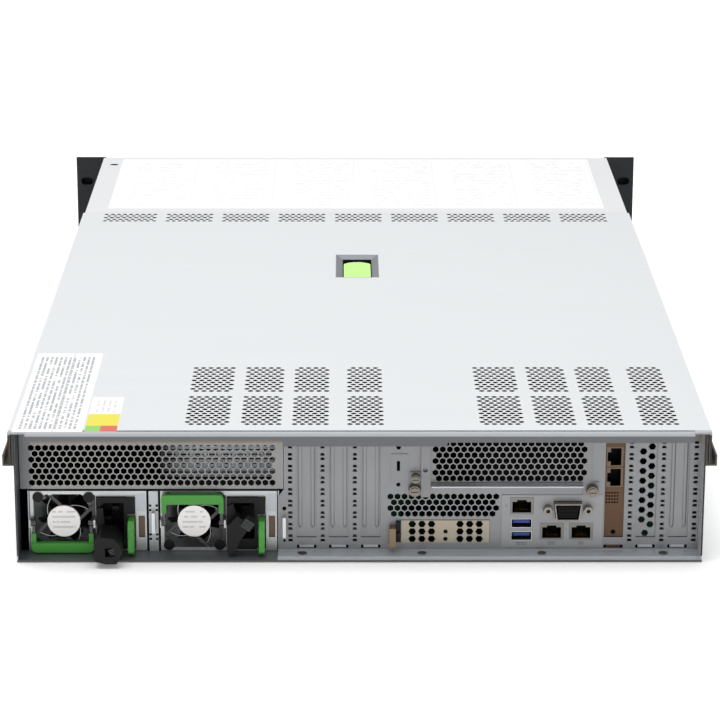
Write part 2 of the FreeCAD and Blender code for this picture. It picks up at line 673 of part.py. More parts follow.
def psu_face(x_out):
    """Sheet face: fan opening crossed by four arms that carry the hub disc."""
    y = panel_y - 1.2
    place = at_y(y)
    fx, fz = x_out - fan_u, psu_z + psu_h / 2
    top = psu_z + psu_h
    inlet_hole = rect(x_out - 61.2, x_out - 41.6, psu_z + 1.4, top - 3.6, place)
    fan_hole_half = 17.9
    corner = 7.0
    h = fan_hole_half
    c = h - corner
    window = [(-h, -c), (-c, -h), (c, -h), (h, -c), (h, c), (c, h), (-c, h), (-h, c)]
    opening = polygon([place(fx + a, fz + b) for a, b in window])
    slot = rect(x_out - 72.4, x_out - 68.4, psu_z + 9.0, psu_z + 23.5, place)
    notch = rect(x_out - 66.6, x_out - 61.3, psu_z + 1.0, psu_z + 24.6, place)
    face = sheet(rect(x_out - psu_w, x_out, psu_z, top, place), [opening, inlet_hole, slot, notch],
                 V(0, 1.2, 0))
    disc = profile([(fx + hub_r * math.cos(a), fz + hub_r * math.sin(a))
                    for a in [2 * math.pi * k / 32 for k in range(32)]], place, V(0, 1.6, 0))
    arms = []
    for k in range(4):
        a = math.radians(90 * k + 45)
        arm = block(-1.0, 1.0, y, y + 1.2, hub_r - 2.0, 19.4)
        arm.translate(V(-6.2, 0, 0))
        arm.rotate(V(0, 0, 0), V(0, 1, 0), math.degrees(a))
        arm.translate(V(fx, 0, fz))
        arms.append(arm)
    lugs = [join([block(x_out - u - w, x_out - u, panel_y, panel_y + 6.0, fz - 2.6, fz + 2.6),
                  rod(x_out - p, panel_y + bail_pivot_out, fz, 1.0, 3.2, (-1, 0, 0))])
            for u, w, p in ((0.0, 0.7, 0.4), (bail_u1 + 0.2, 1.2, bail_u1 - 2.8))]
    rx, ry = release_axis(x_out)
    lug = cut(block(rx - 2.3, rx + 2.6, y - 6.0, y, release_z1 + 0.3, release_z1 + 4.0),
              [rod(rx, ry, release_z1, 1.06, 3.0, (0, 0, 1))])
    screws = [rod(fx + s * fan_hole / 2, panel_y, fz + t * fan_hole / 2, 3.4, 0.9, (0, 1, 0))
              for s in (-1, 1) for t in (-1, 1)]
    return [join([face, disc, lug] + arms)] + lugs + screws


def psu_rotor(x_out):
    fx, fz = x_out - fan_u, psu_z + psu_h / 2
    y1 = panel_y - 1.2 - 1.6
    hub = rod(fx, y1 - 16.0, fz, 9.4, 16.0, (0, 1, 0))
    shaft = rod(fx, y1 - 21.6, fz, 1.5, 5.6, (0, 1, 0))
    blades = []
    for k in range(7):
        blade = block(-0.5, 0.5, y1 - 15.0, y1 - 2.0, 8.8, 16.6)
        blade.rotate(V(0, y1 - 8.5, 12.7), V(0, 0, 1), 32)
        blade.rotate(V(0, 0, 0), V(0, 1, 0), 360.0 / 7 * k)
        blade.translate(V(fx, 0, fz))
        blades.append(blade)
    return join([hub, shaft] + blades)


def psu_inlet(x_out):
    """Moulded inlet block with its three-pin cavity; it ends in the fan bracket."""
    x0, x1 = x_out - 60.9, x_out - 41.9
    z0, z1 = psu_z + 1.7, psu_z + psu_h - 3.9
    y1 = panel_y + 2.6
    body = block(x0, x1, panel_y - 22.8, y1, z0, z1)
    cx, cz = (x0 + x1) / 2, (z0 + z1) / 2 + 2.0
    cavity = profile([(cx - 8.0, cz - 12.0), (cx + 4.4, cz - 12.0), (cx + 8.0, cz - 8.4),
                      (cx + 8.0, cz + 8.4), (cx + 4.4, cz + 12.0), (cx - 8.0, cz + 12.0)],
                     at_y(y1 - 17.0), V(0, 20.0, 0))
    pins = [block(cx + dx - w / 2, cx + dx + w / 2, y1 - 17.0, y1 - 5.5, cz + dz - h / 2, cz + dz + h / 2)
            for dx, dz, w, h in ((-2.2, -7.0, 4.0, 2.0), (-2.2, 7.0, 4.0, 2.0), (2.8, 0.0, 4.0, 2.0))]
    shoulder = block(x_out - 66.4, x0, panel_y, y1, psu_z + 25.2, z1)
    return [cut(join([body, shoulder]), [cavity])] + pins


def psu_carrier(x_out):
    """Bracket behind the face that holds the fan bearing, the inlet and the board."""
    fx, fz = x_out - fan_u, psu_z + psu_h / 2
    y = panel_y - 1.2 - 1.6 - 20.0
    back = block(x_out - psu_w + psu_t, x_out - psu_t, y - 2.0, y, psu_z + psu_t, psu_z + psu_h - psu_t)
    bore = rod(fx, y - 3.0, fz, 1.55, 4.0, (0, 1, 0))
    return cut(back, [bore])


def bail(x_out, up):
    """Grip on two wire arms; `up` stands it over the fan, otherwise it hangs."""
    fz = psu_z + psu_h / 2
    py = panel_y + bail_pivot_out
    sign = 1 if up else -1
    u0, u1 = bail_u0, bail_u1
    t = 1.5
    arm_w = 3.0
    y0, y1 = py - t, py + t
    solids = []
    for a in (u0, u1 - arm_w):
        solids.append(rod(x_out - a, py, fz, 2.0, arm_w, (-1, 0, 0)))
        z = sorted((fz + sign * 1.2, fz + sign * 8.0))
        solids.append(block(x_out - a - 2.4, x_out - a - 0.7, py - 0.9, py + 0.9, z[0], z[1]))
        z = sorted((fz + sign * 6.6, fz + sign * (bail_reach - 5.0)))
        solids.append(block(x_out - a - arm_w, x_out - a, y0, y1, z[0], z[1]))
    z0, z1 = fz + sign * (bail_reach - 6.2), fz + sign * bail_reach
    a, b = x_out - u1, x_out - u0
    grip = [(a, z0), (b, z0), (b, z1 - sign * 2.6), (b - 0.8, z1 - sign * 0.8), (b - 2.6, z1),
            (a + 2.6, z1), (a + 0.8, z1 - sign * 0.8), (a, z1 - sign * 2.6)]
    solids.append(profile(grip, at_y(y0), V(0, y1 + 0.9 - y0, 0)))
    pin_holes = [rod(x_out - a + 0.5, py, fz, 1.06, arm_w + 1.0, (-1, 0, 0)) for a in (u0, u1 - arm_w)]
    return cut(join(solids), pin_holes)


def release_axis(x_out):
    return x_out - release_u - release_w / 2, panel_y - 4.5


def release(x_out):
    """Upright thumb lever with a pointed head, on a pin that stands in the case."""
    y0, y1 = panel_y - 6.3, panel_y + 13.0
    z0, z1 = release_z0, release_z1
    points = [(y0, z0), (y1 - 2.0, z0), (y1, z0 + 2.0), (y1, z1 - 5.0), (y1 - 4.0, z1), (y0, z1)]
    plate = profile(points, at_x(x_out - release_u - release_w), V(release_w, 0, 0))
    x, y = release_axis(x_out)
    pin = rod(x, y, psu_z + 0.1, 1.0, z1 + 1.4 - psu_z, (0, 0, 1))
    return join([plate, pin])


def retainer_up(x_out):
    """Cable retainer folded up: a strap in front of the inlet and a slanted clamp."""
    z = psu_z
    y = panel_y + 2.6
    strap = profile([(x_out - 41.9, z + 31.0), (x_out - 46.0, z + 33.0), (x_out - 50.0, z + 20.0),
                     (x_out - 46.5, z + 5.0), (x_out - 41.9, z + 8.0)], at_y(y), V(0, 1.6, 0))
    clamp = profile([(x_out - 42.2, z + 4.5), (x_out - 42.2, z + 20.0), (x_out - 49.0, z + 27.5),
                     (x_out - 52.0, z + 25.0), (x_out - 56.0, z + 28.0), (x_out - 59.4, z + 23.0),
                     (x_out - 53.5, z + 15.5), (x_out - 50.5, z + 10.5), (x_out - 46.6, z + 1.8),
                     (x_out - 43.6, z + 1.8)], at_y(y), V(0, 9.6, 0))
    return join([strap, clamp])


def retainer_down(x_out):
    """Cable retainer folded down: a strap and a blunt clamp with a cable groove."""
    z = psu_z
    y = panel_y + 2.6
    strap = profile([(x_out - 42.0, z + 30.0), (x_out - 46.4, z + 30.0), (x_out - 47.6, z + 12.0),
                     (x_out - 42.0, z + 12.0)], at_y(y), V(0, 1.6, 0))
    clamp = profile([(x_out - 42.2, z + 3.0), (x_out - 42.2, z + 14.5), (x_out - 46.0, z + 19.0),
                     (x_out - 54.5, z + 18.0), (x_out - 59.0, z + 12.5), (x_out - 58.6, z + 6.0),
                     (x_out - 56.0, z + 1.2), (x_out - 49.5, z + 1.2)], at_y(y), V(0, 25.0, 0))
    groove = block(x_out - 55.0, x_out - 49.0, y + 18.0, y + 30.0, z + 6.0, z + 12.0)
    return cut(join([strap, clamp]), [groove])


# ---------------------------------------------------------------- inside
def mainboard():
    z0, z1 = board_z, board_z + board_t
    rear = panel_y - 8.0
    psu_front = panel_y - psu_len - 26.0
    outline = [(-206, rear), (-206, fan_y + 46), (206, fan_y + 46), (206, psu_front), (46, psu_front), (46, rear)]
    return profile(outline, at_z(z0), V(0, 0, z1 - z0))


def power_board():
    """Upright board in front of the supplies, with a socket for each tail."""
    y1 = panel_y - psu_len - 13.0
    board = block(52.0, 208.0, y1 - board_t, y1, floor_t, 40.0)
    sockets = []
    for x_out in (psu_1_x, psu_2_x):
        x0, x1 = x_out - psu_w + 13.0, x_out - 13.0
        body = block(x0, x1, y1, y1 + 11.0, psu_z + 5.0, psu_z + 12.6)
        groove = block(x0 + 2.0, x1 - 2.0, y1 + 4.0, y1 + 12.0, psu_z + 7.4, psu_z + 10.2)
        sockets.append(cut(body, [groove]))
    return [board] + sockets


def standoffs():
    xs = (-190, -60, 35, 190)
    ys = (fan_y + 60, 20, 120)
    spots = [(x, y) for x in xs for y in ys] + [(-190, 300), (-60, 300), (35, 300)]
    return [rod(x, y, floor_t, 3.0, board_z - floor_t, (0, 0, 1)) for x, y in spots]


cpu_xs = (-95.0, 95.0)
cpu_y = -35.0


def heatsinks():
    solids = []
    z0 = board_z + board_t
    for x in cpu_xs:
        base = block(x - 45, x + 45, cpu_y - 47, cpu_y + 47, z0 + 6.0, z0 + 11.0)
        socket = block(x - 27, x + 27, cpu_y - 30, cpu_y + 30, z0, z0 + 6.0)
        fins = [block(x - 45 + 3.0 * k, x - 44.2 + 3.0 * k, cpu_y - 45, cpu_y + 45, z0 + 11.0, z0 + 58.0)
                for k in range(30)]
        solids.append(join([base, socket] + fins))
    return solids


def memory_modules():
    solids = []
    z0 = board_z + board_t
    for x in cpu_xs:
        for side in (-1, 1):
            for k in range(4):
                mx = x + side * (55.0 + 9.4 * k)
                socket = block(mx - 3.2, mx + 3.2, cpu_y - 71, cpu_y + 71, z0, z0 + 5.5)
                module = block(mx - 0.65, mx + 0.65, cpu_y - 66.6, cpu_y + 66.6, z0 + 5.5, z0 + 33.0)
                solids.append(join([socket, module]))
    return solids


def air_shroud():
    """Duct over the heatsinks: roof and two outer walls, open front and rear."""
    y0, y1 = cpu_y - 78.0, cpu_y + 62.0
    z0, z1 = board_z + board_t, height - 10.5
    t = 1.6
    half = 197.0
    outline = [(-half, z0), (-half + t, z0), (-half + t, z1 - t), (half - t, z1 - t), (half - t, z0),
               (half, z0), (half, z1), (-half, z1)]
    return profile(outline, at_y(y0), V(0, y1 - y0, 0))


def fan_xs():
    pitch = fan_size + 4.4
    return [pitch * (k - 2) for k in range(5)]


def fan_cage():
    """One wall of five square fan frames with round bores and bearing spiders."""
    z0 = floor_t
    half = wall_in - 0.4
    top = z0 + fan_size + 1.2
    y0, y1 = fan_y, fan_y + fan_depth
    body = block(-half, half, y0, y1, z0, top)
    cz = z0 + 0.6 + fan_size / 2
    bores = [rod(x, y0 - 1, cz, bore_r, fan_depth + 2, (0, 1, 0)) for x in fan_xs()]
    body = cut(body, bores)
    spiders = []
    for x in fan_xs():
        hub = rod(x, y1 - 5.0, cz, 17.0, 4.0, (0, 1, 0))
        arms = [block(x - bore_r - 0.5, x + bore_r + 0.5, y1 - 4.0, y1 - 1.0, cz - 1.5, cz + 1.5),
                block(x - 1.5, x + 1.5, y1 - 4.0, y1 - 1.0, cz - bore_r - 0.5, cz + bore_r + 0.5)]
        bore = rod(x, y1 - 6.0, cz, 2.05, 6.0, (0, 1, 0))
        spiders.append(cut(join([hub] + arms), [bore]))
    return join([body] + spiders)


def fan_rotor(x):
    cz = floor_t + 0.6 + fan_size / 2
    y1 = fan_y + fan_depth - 6.0
    y0 = fan_y + 4.0
    hub = rod(x, y0, cz, 17.0, y1 - y0, (0, 1, 0))
    shaft = rod(x, y1, cz, 2.0, 4.4, (0, 1, 0))
    blades = []
    for k in range(5):
        blade = block(-0.8, 0.8, y0 + 2, y1 - 2, 16.0, bore_r - 1.4)
        blade.rotate(V(0, (y0 + y1) / 2, 26.0), V(0, 0, 1), 38)
        blade.rotate(V(0, 0, 0), V(0, 1, 0), 72.0 * k)
        blade.translate(V(x, 0, cz))
        blades.append(blade)
    return join([hub, shaft] + blades)


# ---------------------------------------------------------------- front
cage_front = front_y - 10.0
cage_rear = front_y + 168.0
shelf_t = 0.8
bay_z = floor_t + shelf_t + run_gap
row_pitch = 27.4


def bay_xs():
    return [bay_pitch * (k - 1.5) for k in range(4)]


def drive_cage():
    """Shelves and partitions of the drive bays; the carriers slide between them."""
    half = wall_in - 0.4
    t = shelf_t
    rows = [floor_t + row_pitch * k for k in range(4)]
    shelves = [block(-half, half, front_y, cage_rear, z, z + t) for z in rows[:3]]
    walls = [block(x - t / 2, x + t / 2, front_y, cage_rear, rows[0] + t, rows[2])
             for x in [bay_pitch * k for k in (-1, 0, 1)]]
    sides = [block(*sorted((s * half, s * (half - t))), front_y, cage_rear, rows[0] + t, rows[2])
             for s in (-1, 1)]
    return join(shelves + walls + sides)


def backplane():
    half = wall_in - 0.8
    place = at_y(cage_rear + 1.0)
    holes = [rect(x - 20, x + 20, 40.0, 50.0, place) for x in bay_xs()]
    board = sheet(rect(-half, half, floor_t, 78.0, place), holes, V(0, board_t, 0))
    plugs = [block(x - 22, x + 22, cage_rear - 5.0, cage_rear + 1.0, bay_z + 5.0, bay_z + 10.0) for x in bay_xs()]
    return [board] + plugs


def carrier(x):
    """Hot-plug carrier: moulded face, two runners, floor and the drive it holds."""
    w, h = bay_pitch - 2.4, drive_h - 0.6
    z0 = bay_z
    face = block(x - w / 2, x + w / 2, face_y + 6.0, front_y - 0.4, z0, z0 + h)
    vents = [block(x + 40.0 - 5.0 * k, x + 43.0 - 5.0 * k, face_y, front_y, z0 + 3.0, z0 + 6.0) for k in range(15)]
    face = cut(face, vents)
    runners = [block(*sorted((x + s * w / 2, x + s * (w / 2 - 1.2))), front_y - 0.4, cage_rear - 20.0,
                     z0, z0 + 16.0) for s in (-1, 1)]
    drive = block(x - drive_w / 2, x + drive_w / 2, front_y + 8.0, cage_rear - 6.0, z0 + 0.8, z0 + h - 0.2)
    link = block(x - drive_w / 2, x + drive_w / 2, front_y - 0.4, front_y + 8.0, z0 + 2.0, z0 + 12.0)
    ax, ay = lever_axis(x)
    lugs = [block(ax - 3.0, ax + 3.0, ay - 2.6, face_y + 6.0, za, za + 1.2)
            for za in (lever_z - 1.4, lever_z + lever_h + 0.2)]
    pin = rod(ax, ay, lever_z - 1.0, 1.0, lever_h + 2.0, (0, 0, 1))
    return [join([face, pin] + runners + lugs), join([drive, link])]


lever_z = bay_z + 8.5
lever_h = 13.0
lever_t = 5.7


def lever_axis(x):
    return x + (bay_pitch - 2.4) / 2 - 5.0, face_y + lever_t / 2


def lever(x):
    """Front lever with a round hinged end, a finger dish and a slotted middle."""
    ax, ay = lever_axis(x)
    left = x - (bay_pitch - 2.4) / 2 + 12.0
    r = lever_t / 2
    arc = [(ax + r * math.cos(a), ay + r * math.sin(a)) for a in [math.radians(15 * k - 90) for k in range(13)]]
    grip = profile([(left, ay + r), (left, ay - r)] + arc, at_z(lever_z), V(0, 0, lever_h))
    dish = block(left + 3.0, left + 22.0, ay - 4.0, ay + 0.4, lever_z + 2.0, lever_z + 11.0)
    slots = [block(left + 26.0 + 7.6 * k, left + 31.0 + 7.6 * k, ay - 4.0, ay + 4.0, lever_z + 3.0,
                   lever_z + 10.0) for k in range(7)]
    bore = rod(ax, ay, lever_z - 1.0, 1.06, lever_h + 2.0, (0, 0, 1))
    return cut(grip, [dish, bore] + slots)


def front_panel():
    """Top strip of the front and the blank covers of the unused middle row."""
    y0, y1 = face_y + 2.0, front_y - 0.4
    half = wall_in - 1.0
    z_low = bay_z + 2 * row_pitch - 0.6
    z_mid = bay_z + row_pitch
    place = at_y(y0)
    strip_top = ear_top - 0.8
    button = ring(button_x, (z_low + strip_top) / 2, 5.4, place)
    ports = [rect(x - 6.9, x + 6.9, 64.0, 70.3, place) for x in (120.0, 96.0)]
    optical = rect(-66.0, 66.0, 62.5, 75.0, place)
    vents = hex_field(-190.0, -76.0, 60.8, 4, 5.6, 5.6 * 0.866, 4.4, place)
    strip = sheet(rect(-half, half, z_low, strip_top, place), [button, optical] + ports + vents, V(0, 3.0, 0))
    slim = join([block(-65.8, 65.8, y0 - 0.4, front_y + 120.0, 62.7, 74.8),
                 block(-60.0, 60.0, front_y + 10.0, front_y + 110.0, z_low, 62.7)])
    blanks = []
    w = bay_pitch - 2.4
    for x in bay_xs():
        holes = hex_field(x - w / 2 + 6, x + w / 2 - 6, z_mid + 5.4, 4, 5.6, 5.6 * 0.866, 4.4, place)
        blanks.append(sheet(rect(x - w / 2, x + w / 2, z_mid, z_mid + drive_h - 0.6, place), holes, V(0, 3.0, 0)))
    rear_frame = [block(x - w / 2 + 1, x + w / 2 - 1, y0 + 3.0, front_y + 20.0, z_mid - run_gap, z_mid + 1.2)
                  for x in bay_xs()]
    z_button = (z_low + strip_top) / 2
    housing = cut(block(button_x - 9, button_x + 9, y0 + 3.0, y0 + 13.0, z_button - 9, z_button + 9),
                  [rod(button_x, y0 + 2.0, z_button, 6.9, 4.7, (0, 1, 0)),
                   rod(button_x, y0 + 2.0, z_button, 5.06, 20.0, (0, 1, 0))])
    hooks = [block(x - 4, x + 4, y0 + 3.0, front_y + 4.0, z_low, z_low + 1.2) for x in (-180, -90, 90, 180)]
    usb = [usb_shell(x, 64.2, 13.4, 5.9, 16.0, y0 - 0.2, -1) for x in (120.0, 96.0)]
    return [join([strip] + hooks), housing, slim] + [join([b, r]) for b, r in zip(blanks, rear_frame)] + usb


button_x = 190.0


def power_button():
    z_low = bay_z + 2 * row_pitch - 0.6
    z = (z_low + ear_top - 0.8) / 2
    cap = rod(button_x, face_y + 1.2, z, 5.0, 10.0, (0, 1, 0))
    collar = rod(button_x, face_y + 5.6, z, 6.6, 1.2, (0, 1, 0))
    return join([cap, collar])


def ear(side):
    """Rack ear: mounting flange with slots, side plate and moulded grip cap."""
    x_in, x_out = wall_x, ear_half
    flange_t = 2.0
    slots = [(z - 3.4, z + 3.4) for z in (21.4, 21.4 + 44.45)]
    place = at_y(front_y - flange_t)
    centre = 465.1 / 2
    holes = [long_hole(*sorted((side * (centre - 5.2), side * (centre + 5.2))), a, b, place) for a, b in slots]
    flange = sheet(rect(*sorted((side * x_in, side * x_out)), 0.6, height, place), holes, V(0, flange_t, 0))
    web = block(*sorted((side * x_in, side * (x_in + 1.2))), front_y, front_y + 60.0, 8.0, 62.0)
    cap_t = 9.0
    cap = block(*sorted((side * (x_in + 0.4), side * (x_out - 0.4))), front_y - flange_t - cap_t,
                front_y - flange_t, 1.2, ear_top)
    pockets = [block(*sorted((side * (centre - 6.5), side * (centre + 6.5))), front_y - flange_t - cap_t + 1.0,
                     front_y - flange_t + 1, a - 1.4, b + 1.4) for a, b in slots]
    cap = cut(cap, pockets)
    return [join([flange, web]), cap]


# ---------------------------------------------------------------- build
def build():
    keep("chassis_tray", chassis_tray())
    keep("side_rails", side_rail(1), side_rail(-1))
    keep("front_cover", *front_cover())
    keep("top_cover", *top_cover())
    keep("latch_frame", latch_frame())
    keep("cover_latch", cover_latch())
    keep("rear_panel", *rear_panel(), lock_plate())
    keep("grille_panel", grille_panel())
    blanks = slot_xs(left_slot_x) + [slot_xs(right_slot_x)[2]]
    keep("slot_covers", *[bracket(x) for x in blanks])
    keep("vented_slot_cover", vented_bracket(slot_xs(right_slot_x)[1]))
    keep("lan_card_bracket", lan_bracket())
    keep("lan_card", *lan_card())
    keep("riser_module", *riser_module())
    tab_y = panel_y + 0.8
    keep("thumbscrews", *[thumbscrew(x, z, tab_y, r) for x, z, r in thumbscrew_spots])
    keep("io_plate", io_plate())
    keep("network_jacks", *network_jacks())
    keep("usb_ports", *usb_ports())
    keep("video_port", *video_port())
    keep("module_cover", *module_cover())
    keep("ledge_screws", *[flat_screw(x, panel_y + 7.0) for x in ledge_screw_xs])
    keep("psu_cage", *psu_cage())
    for number, x_out in ((1, psu_1_x), (2, psu_2_x)):
        name = "psu_%d_" % number
        keep(name + "case", *psu_case(x_out), psu_carrier(x_out))
        keep(name + "face", *psu_face(x_out))
        keep(name + "fan", psu_rotor(x_out))
        keep(name + "inlet", *psu_inlet(x_out))
        keep(name + "bail", bail(x_out, number == 2))
        keep(name + "release", release(x_out))
        keep(name + "retainer", retainer_up(x_out) if number == 2 else retainer_down(x_out))
    keep("mainboard", mainboard(), *standoffs(), *pcie_sockets(), *power_board())
    keep("cpu_heatsinks", *heatsinks())
    keep("memory_modules", *memory_modules())
    keep("air_shroud", air_shroud())
    keep("fan_cage", fan_cage())
    for k, x in enumerate(fan_xs()):
        keep("fan_rotor_%d" % (k + 1), fan_rotor(x))
    keep("drive_cage", drive_cage())
    keep("drive_backplane", *backplane())
    for k, x in enumerate(bay_xs()):
        keep("drive_carrier_%d" % (k + 1), *carrier(x))
        keep("carrier_lever_%d" % (k + 1), lever(x))
    keep("front_panel", *front_panel())
    keep("power_button", power_button())
    keep("left_ear", *ear(-1))
    keep("right_ear", *ear(1))


def export():
    os.makedirs("parts", exist_ok=True)
    for name, shape in parts.items():
        shape.exportStep("parts/%s.step" % name)
    print(len(parts), "nodes")


build()
export()
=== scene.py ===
"""Looks of a two-unit rack server, laid out as an add-on.

Row frame in metres: +Z up, the front looks along -Y, the rear along +Y, the origin
is the centre of the underside.  Millimetres are turned into metres by `mm`.
"""
import math

import bpy
import numpy as np
from mathutils import Matrix, Vector


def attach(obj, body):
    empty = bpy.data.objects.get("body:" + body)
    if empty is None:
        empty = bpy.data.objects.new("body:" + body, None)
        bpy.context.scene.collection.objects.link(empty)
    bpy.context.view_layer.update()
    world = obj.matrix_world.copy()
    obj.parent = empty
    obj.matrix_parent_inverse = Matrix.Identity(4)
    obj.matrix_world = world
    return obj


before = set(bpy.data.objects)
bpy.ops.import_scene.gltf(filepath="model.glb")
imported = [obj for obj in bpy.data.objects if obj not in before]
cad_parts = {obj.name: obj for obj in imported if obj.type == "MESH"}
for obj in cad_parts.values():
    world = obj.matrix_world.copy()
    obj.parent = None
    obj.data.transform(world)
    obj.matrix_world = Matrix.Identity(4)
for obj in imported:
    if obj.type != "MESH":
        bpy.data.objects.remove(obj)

bl_info = {
    "name": "Rack server looks",
    "version": (1, 0, 0),
    "blender": (4, 5, 0),
    "location": "3D View > Sidebar > Server",
    "description": "Finishes, small pieces and stage for a two-unit rack server",
    "category": "Object",
}

mm = 0.001
PANEL_Y = 353.5                   # outer plane of the rear sheets
HOLE_Y = PANEL_Y - 0.06           # the walls of holes lie behind this plane
PSU_OUT = {1: 208.1, 2: 125.8}    # x of each supply's outer side
HUB_IN = 21.2                     # from that side to the fan's axis
HUB_Z = 21.5                      # height of the fan's axis
# near black: painted shade on hole walls, also the black of plastic cores and jack mouths
HOLE_SHADE_BLACK = (0.010, 0.010, 0.011)
# near black: painted shade inside the covers, also the black of the fan screw heads
INNER_SHADE_BLACK = (0.012, 0.012, 0.013)
DASH_GREY = (0.35, 0.35, 0.36)


# ------------------------------------------------------------------ sockets
class Sock:
    """A node socket with arithmetic; each operator adds one Math node."""

    def __init__(self, tree, out):
        self.tree = tree
        self.out = out

    def feed(self, value, socket):
        if isinstance(value, Sock):
            self.tree.links.new(value.out, socket)
        else:
            socket.default_value = value

    def math(self, operation, *others):
        node = self.tree.nodes.new("ShaderNodeMath")
        node.operation = operation
        for socket, value in zip(node.inputs, (self,) + others):
            self.feed(value, socket)
        return Sock(self.tree, node.outputs[0])

    def __add__(self, other):
        return self.math("ADD", other)

    def __sub__(self, other):
        return self.math("SUBTRACT", other)

    def __mul__(self, other):
        return self.math("MULTIPLY", other)

    def __truediv__(self, other):
        return self.math("DIVIDE", other)

    def __gt__(self, other):
        return self.math("GREATER_THAN", other)

    def __lt__(self, other):
        return self.math("LESS_THAN", other)

    def either(self, other):
        return self.math("MAXIMUM", other)

    def clamp(self):
        return self.math("MAXIMUM", 0.0).math("MINIMUM", 1.0)

    def within(self, low, high):
        return (self > low) * (self < high)

    def floor(self):
        return self.math("FLOOR")

    def fract(self):
        return self.math("FRACT")


class Net:
    """A Principled material and the socket helpers its pattern is written with."""

    def __init__(self, name, colour, rough=0.4, metal=0.0, coat=0.0):
        self.material = bpy.data.materials.new(name)
        self.material.use_nodes = True
        self.tree = self.material.node_tree
        self.shader = self.tree.nodes["Principled BSDF"]
        self.colour = tuple(colour) + (1.0,)
        self.shader.inputs["Base Color"].default_value = self.colour
        self.shader.inputs["Roughness"].default_value = rough
        self.shader.inputs["Metallic"].default_value = metal
        self.shader.inputs["Coat Weight"].default_value = coat
        self.material.diffuse_color = self.colour
        self.coords = self.tree.nodes.new("ShaderNodeTexCoord").outputs["Object"]

    def axes(self):
        """x, y and z of the row frame in millimetres."""
        split = self.tree.nodes.new("ShaderNodeSeparateXYZ")
        self.tree.links.new(self.coords, split.inputs[0])
        return [Sock(self.tree, split.outputs[k]) * 1000.0 for k in range(3)]

    def up(self):
        """The upward part of the surface normal."""
        split = self.tree.nodes.new("ShaderNodeSeparateXYZ")
        geometry = self.tree.nodes.new("ShaderNodeNewGeometry")
        self.tree.links.new(geometry.outputs["Normal"], split.inputs[0])
        return Sock(self.tree, split.outputs[2])

    def noise(self, x, y, z, detail=3.0, rough=0.5):
        """Smooth noise from 0 to 1 at the given coordinates."""
        join = self.tree.nodes.new("ShaderNodeCombineXYZ")
        for socket, value in zip(join.inputs, (x, y, z)):
            if isinstance(value, Sock):
                self.tree.links.new(value.out, socket)
            else:
                socket.default_value = value
        node = self.tree.nodes.new("ShaderNodeTexNoise")
        node.inputs["Scale"].default_value = 1.0
        node.inputs["Detail"].default_value = detail
        node.inputs["Roughness"].default_value = rough
        self.tree.links.new(join.outputs[0], node.inputs["Vector"])
        return Sock(self.tree, node.outputs["Fac"])

    def tint(self, mask, colour):
        """Lays a colour over what the base colour holds so far, where mask is 1."""
        node = self.tree.nodes.new("ShaderNodeMix")
        node.data_type = "RGBA"
        base = self.shader.inputs["Base Color"]
        if base.is_linked:
            self.tree.links.new(base.links[0].from_socket, node.inputs[6])
        else:
            node.inputs[6].default_value = self.colour
        node.inputs[7].default_value = tuple(colour) + (1.0,)
        self.tree.links.new(mask.out, node.inputs[0])
        self.tree.links.new(node.outputs[2], base)

    def drive(self, name, value):
        """Links a socket to a named input of the shader."""
        self.tree.links.new(value.out, self.shader.inputs[name])

    def bump(self, height, strength, distance):
        node = self.tree.nodes.new("ShaderNodeBump")
        node.inputs["Strength"].default_value = strength
        node.inputs["Distance"].default_value = distance
        self.tree.links.new(height.out, node.inputs["Height"])
        self.tree.links.new(node.outputs[0], self.shader.inputs["Normal"])


def grain(net, x, y, z, low, high, along="x"):
    """Soft streaks in roughness: noise stretched along one axis."""
    scale = {"x": (0.004, 0.25, 0.25), "z": (0.25, 0.25, 0.01), "none": (0.03, 0.03, 0.03)}[along]
    streak = net.noise(x * scale[0], y * scale[1], z * scale[2])
    net.drive("Roughness", streak * (high - low) + low)
    return streak


def lines(net, x, y, pitch, fill=0.42, keep=0.47, length=0.35):
    """Rows of grey dashes: a stripe per row, broken up by noise along the row."""
    row = (y / pitch).floor()
    stripe = (y / pitch).fract() < fill
    dash = net.noise(x * length, row * 7.31, 0.0, 1.0) > keep
    return stripe * dash


# ------------------------------------------------------------------ finishes
def zinc(name, colour, rough=(0.30, 0.46)):
    """Zinc-plated sheet with soft streaks along x."""
    net = Net(name, colour, metal=0.30)
    x, y, z = net.axes()
    streak = grain(net, x, y, z, *rough)
    net.tint(streak * 0.35, [c * 0.88 for c in colour])
    return net, x, y, z


def shade(net, mask, metal):
    """Near black, no metal and little shine where mask is 1: painted shade on the walls of holes and inner
    sides, and the black of plastic contact blocks and jack mouths.
    """
    net.tint(mask, HOLE_SHADE_BLACK)
    net.drive("Metallic", mask * -metal + metal)
    net.drive("Specular IOR Level", mask * -0.45 + 0.5)


def tray_finish(colour):
    """Zinc outside, with painted shade: near black inside, grey on the floor under the supplies, dark wall
    ends and a dark lower edge.
    """
    net, x, y, z = zinc("tray_sheet", colour)
    inside = x.within(-214.8, 214.8) * (z > 1.0)
    # painted shade on the rear ends of the side walls
    net.tint((y > 369.6) * (z > 4.0), (0.022, 0.017, 0.014))
    # painted shade, near black, inside the tray
    shade(net, inside * (y < 352.0), 0.30)
    # painted shade on the floor under the supplies
    net.tint(inside * (y > 352.0) * (x > 51.8), (0.115, 0.125, 0.135))
    # painted shade along the lower rear edge
    net.tint((z < 1.25) * (y > 369.9), (0.10, 0.09, 0.085))
    return net


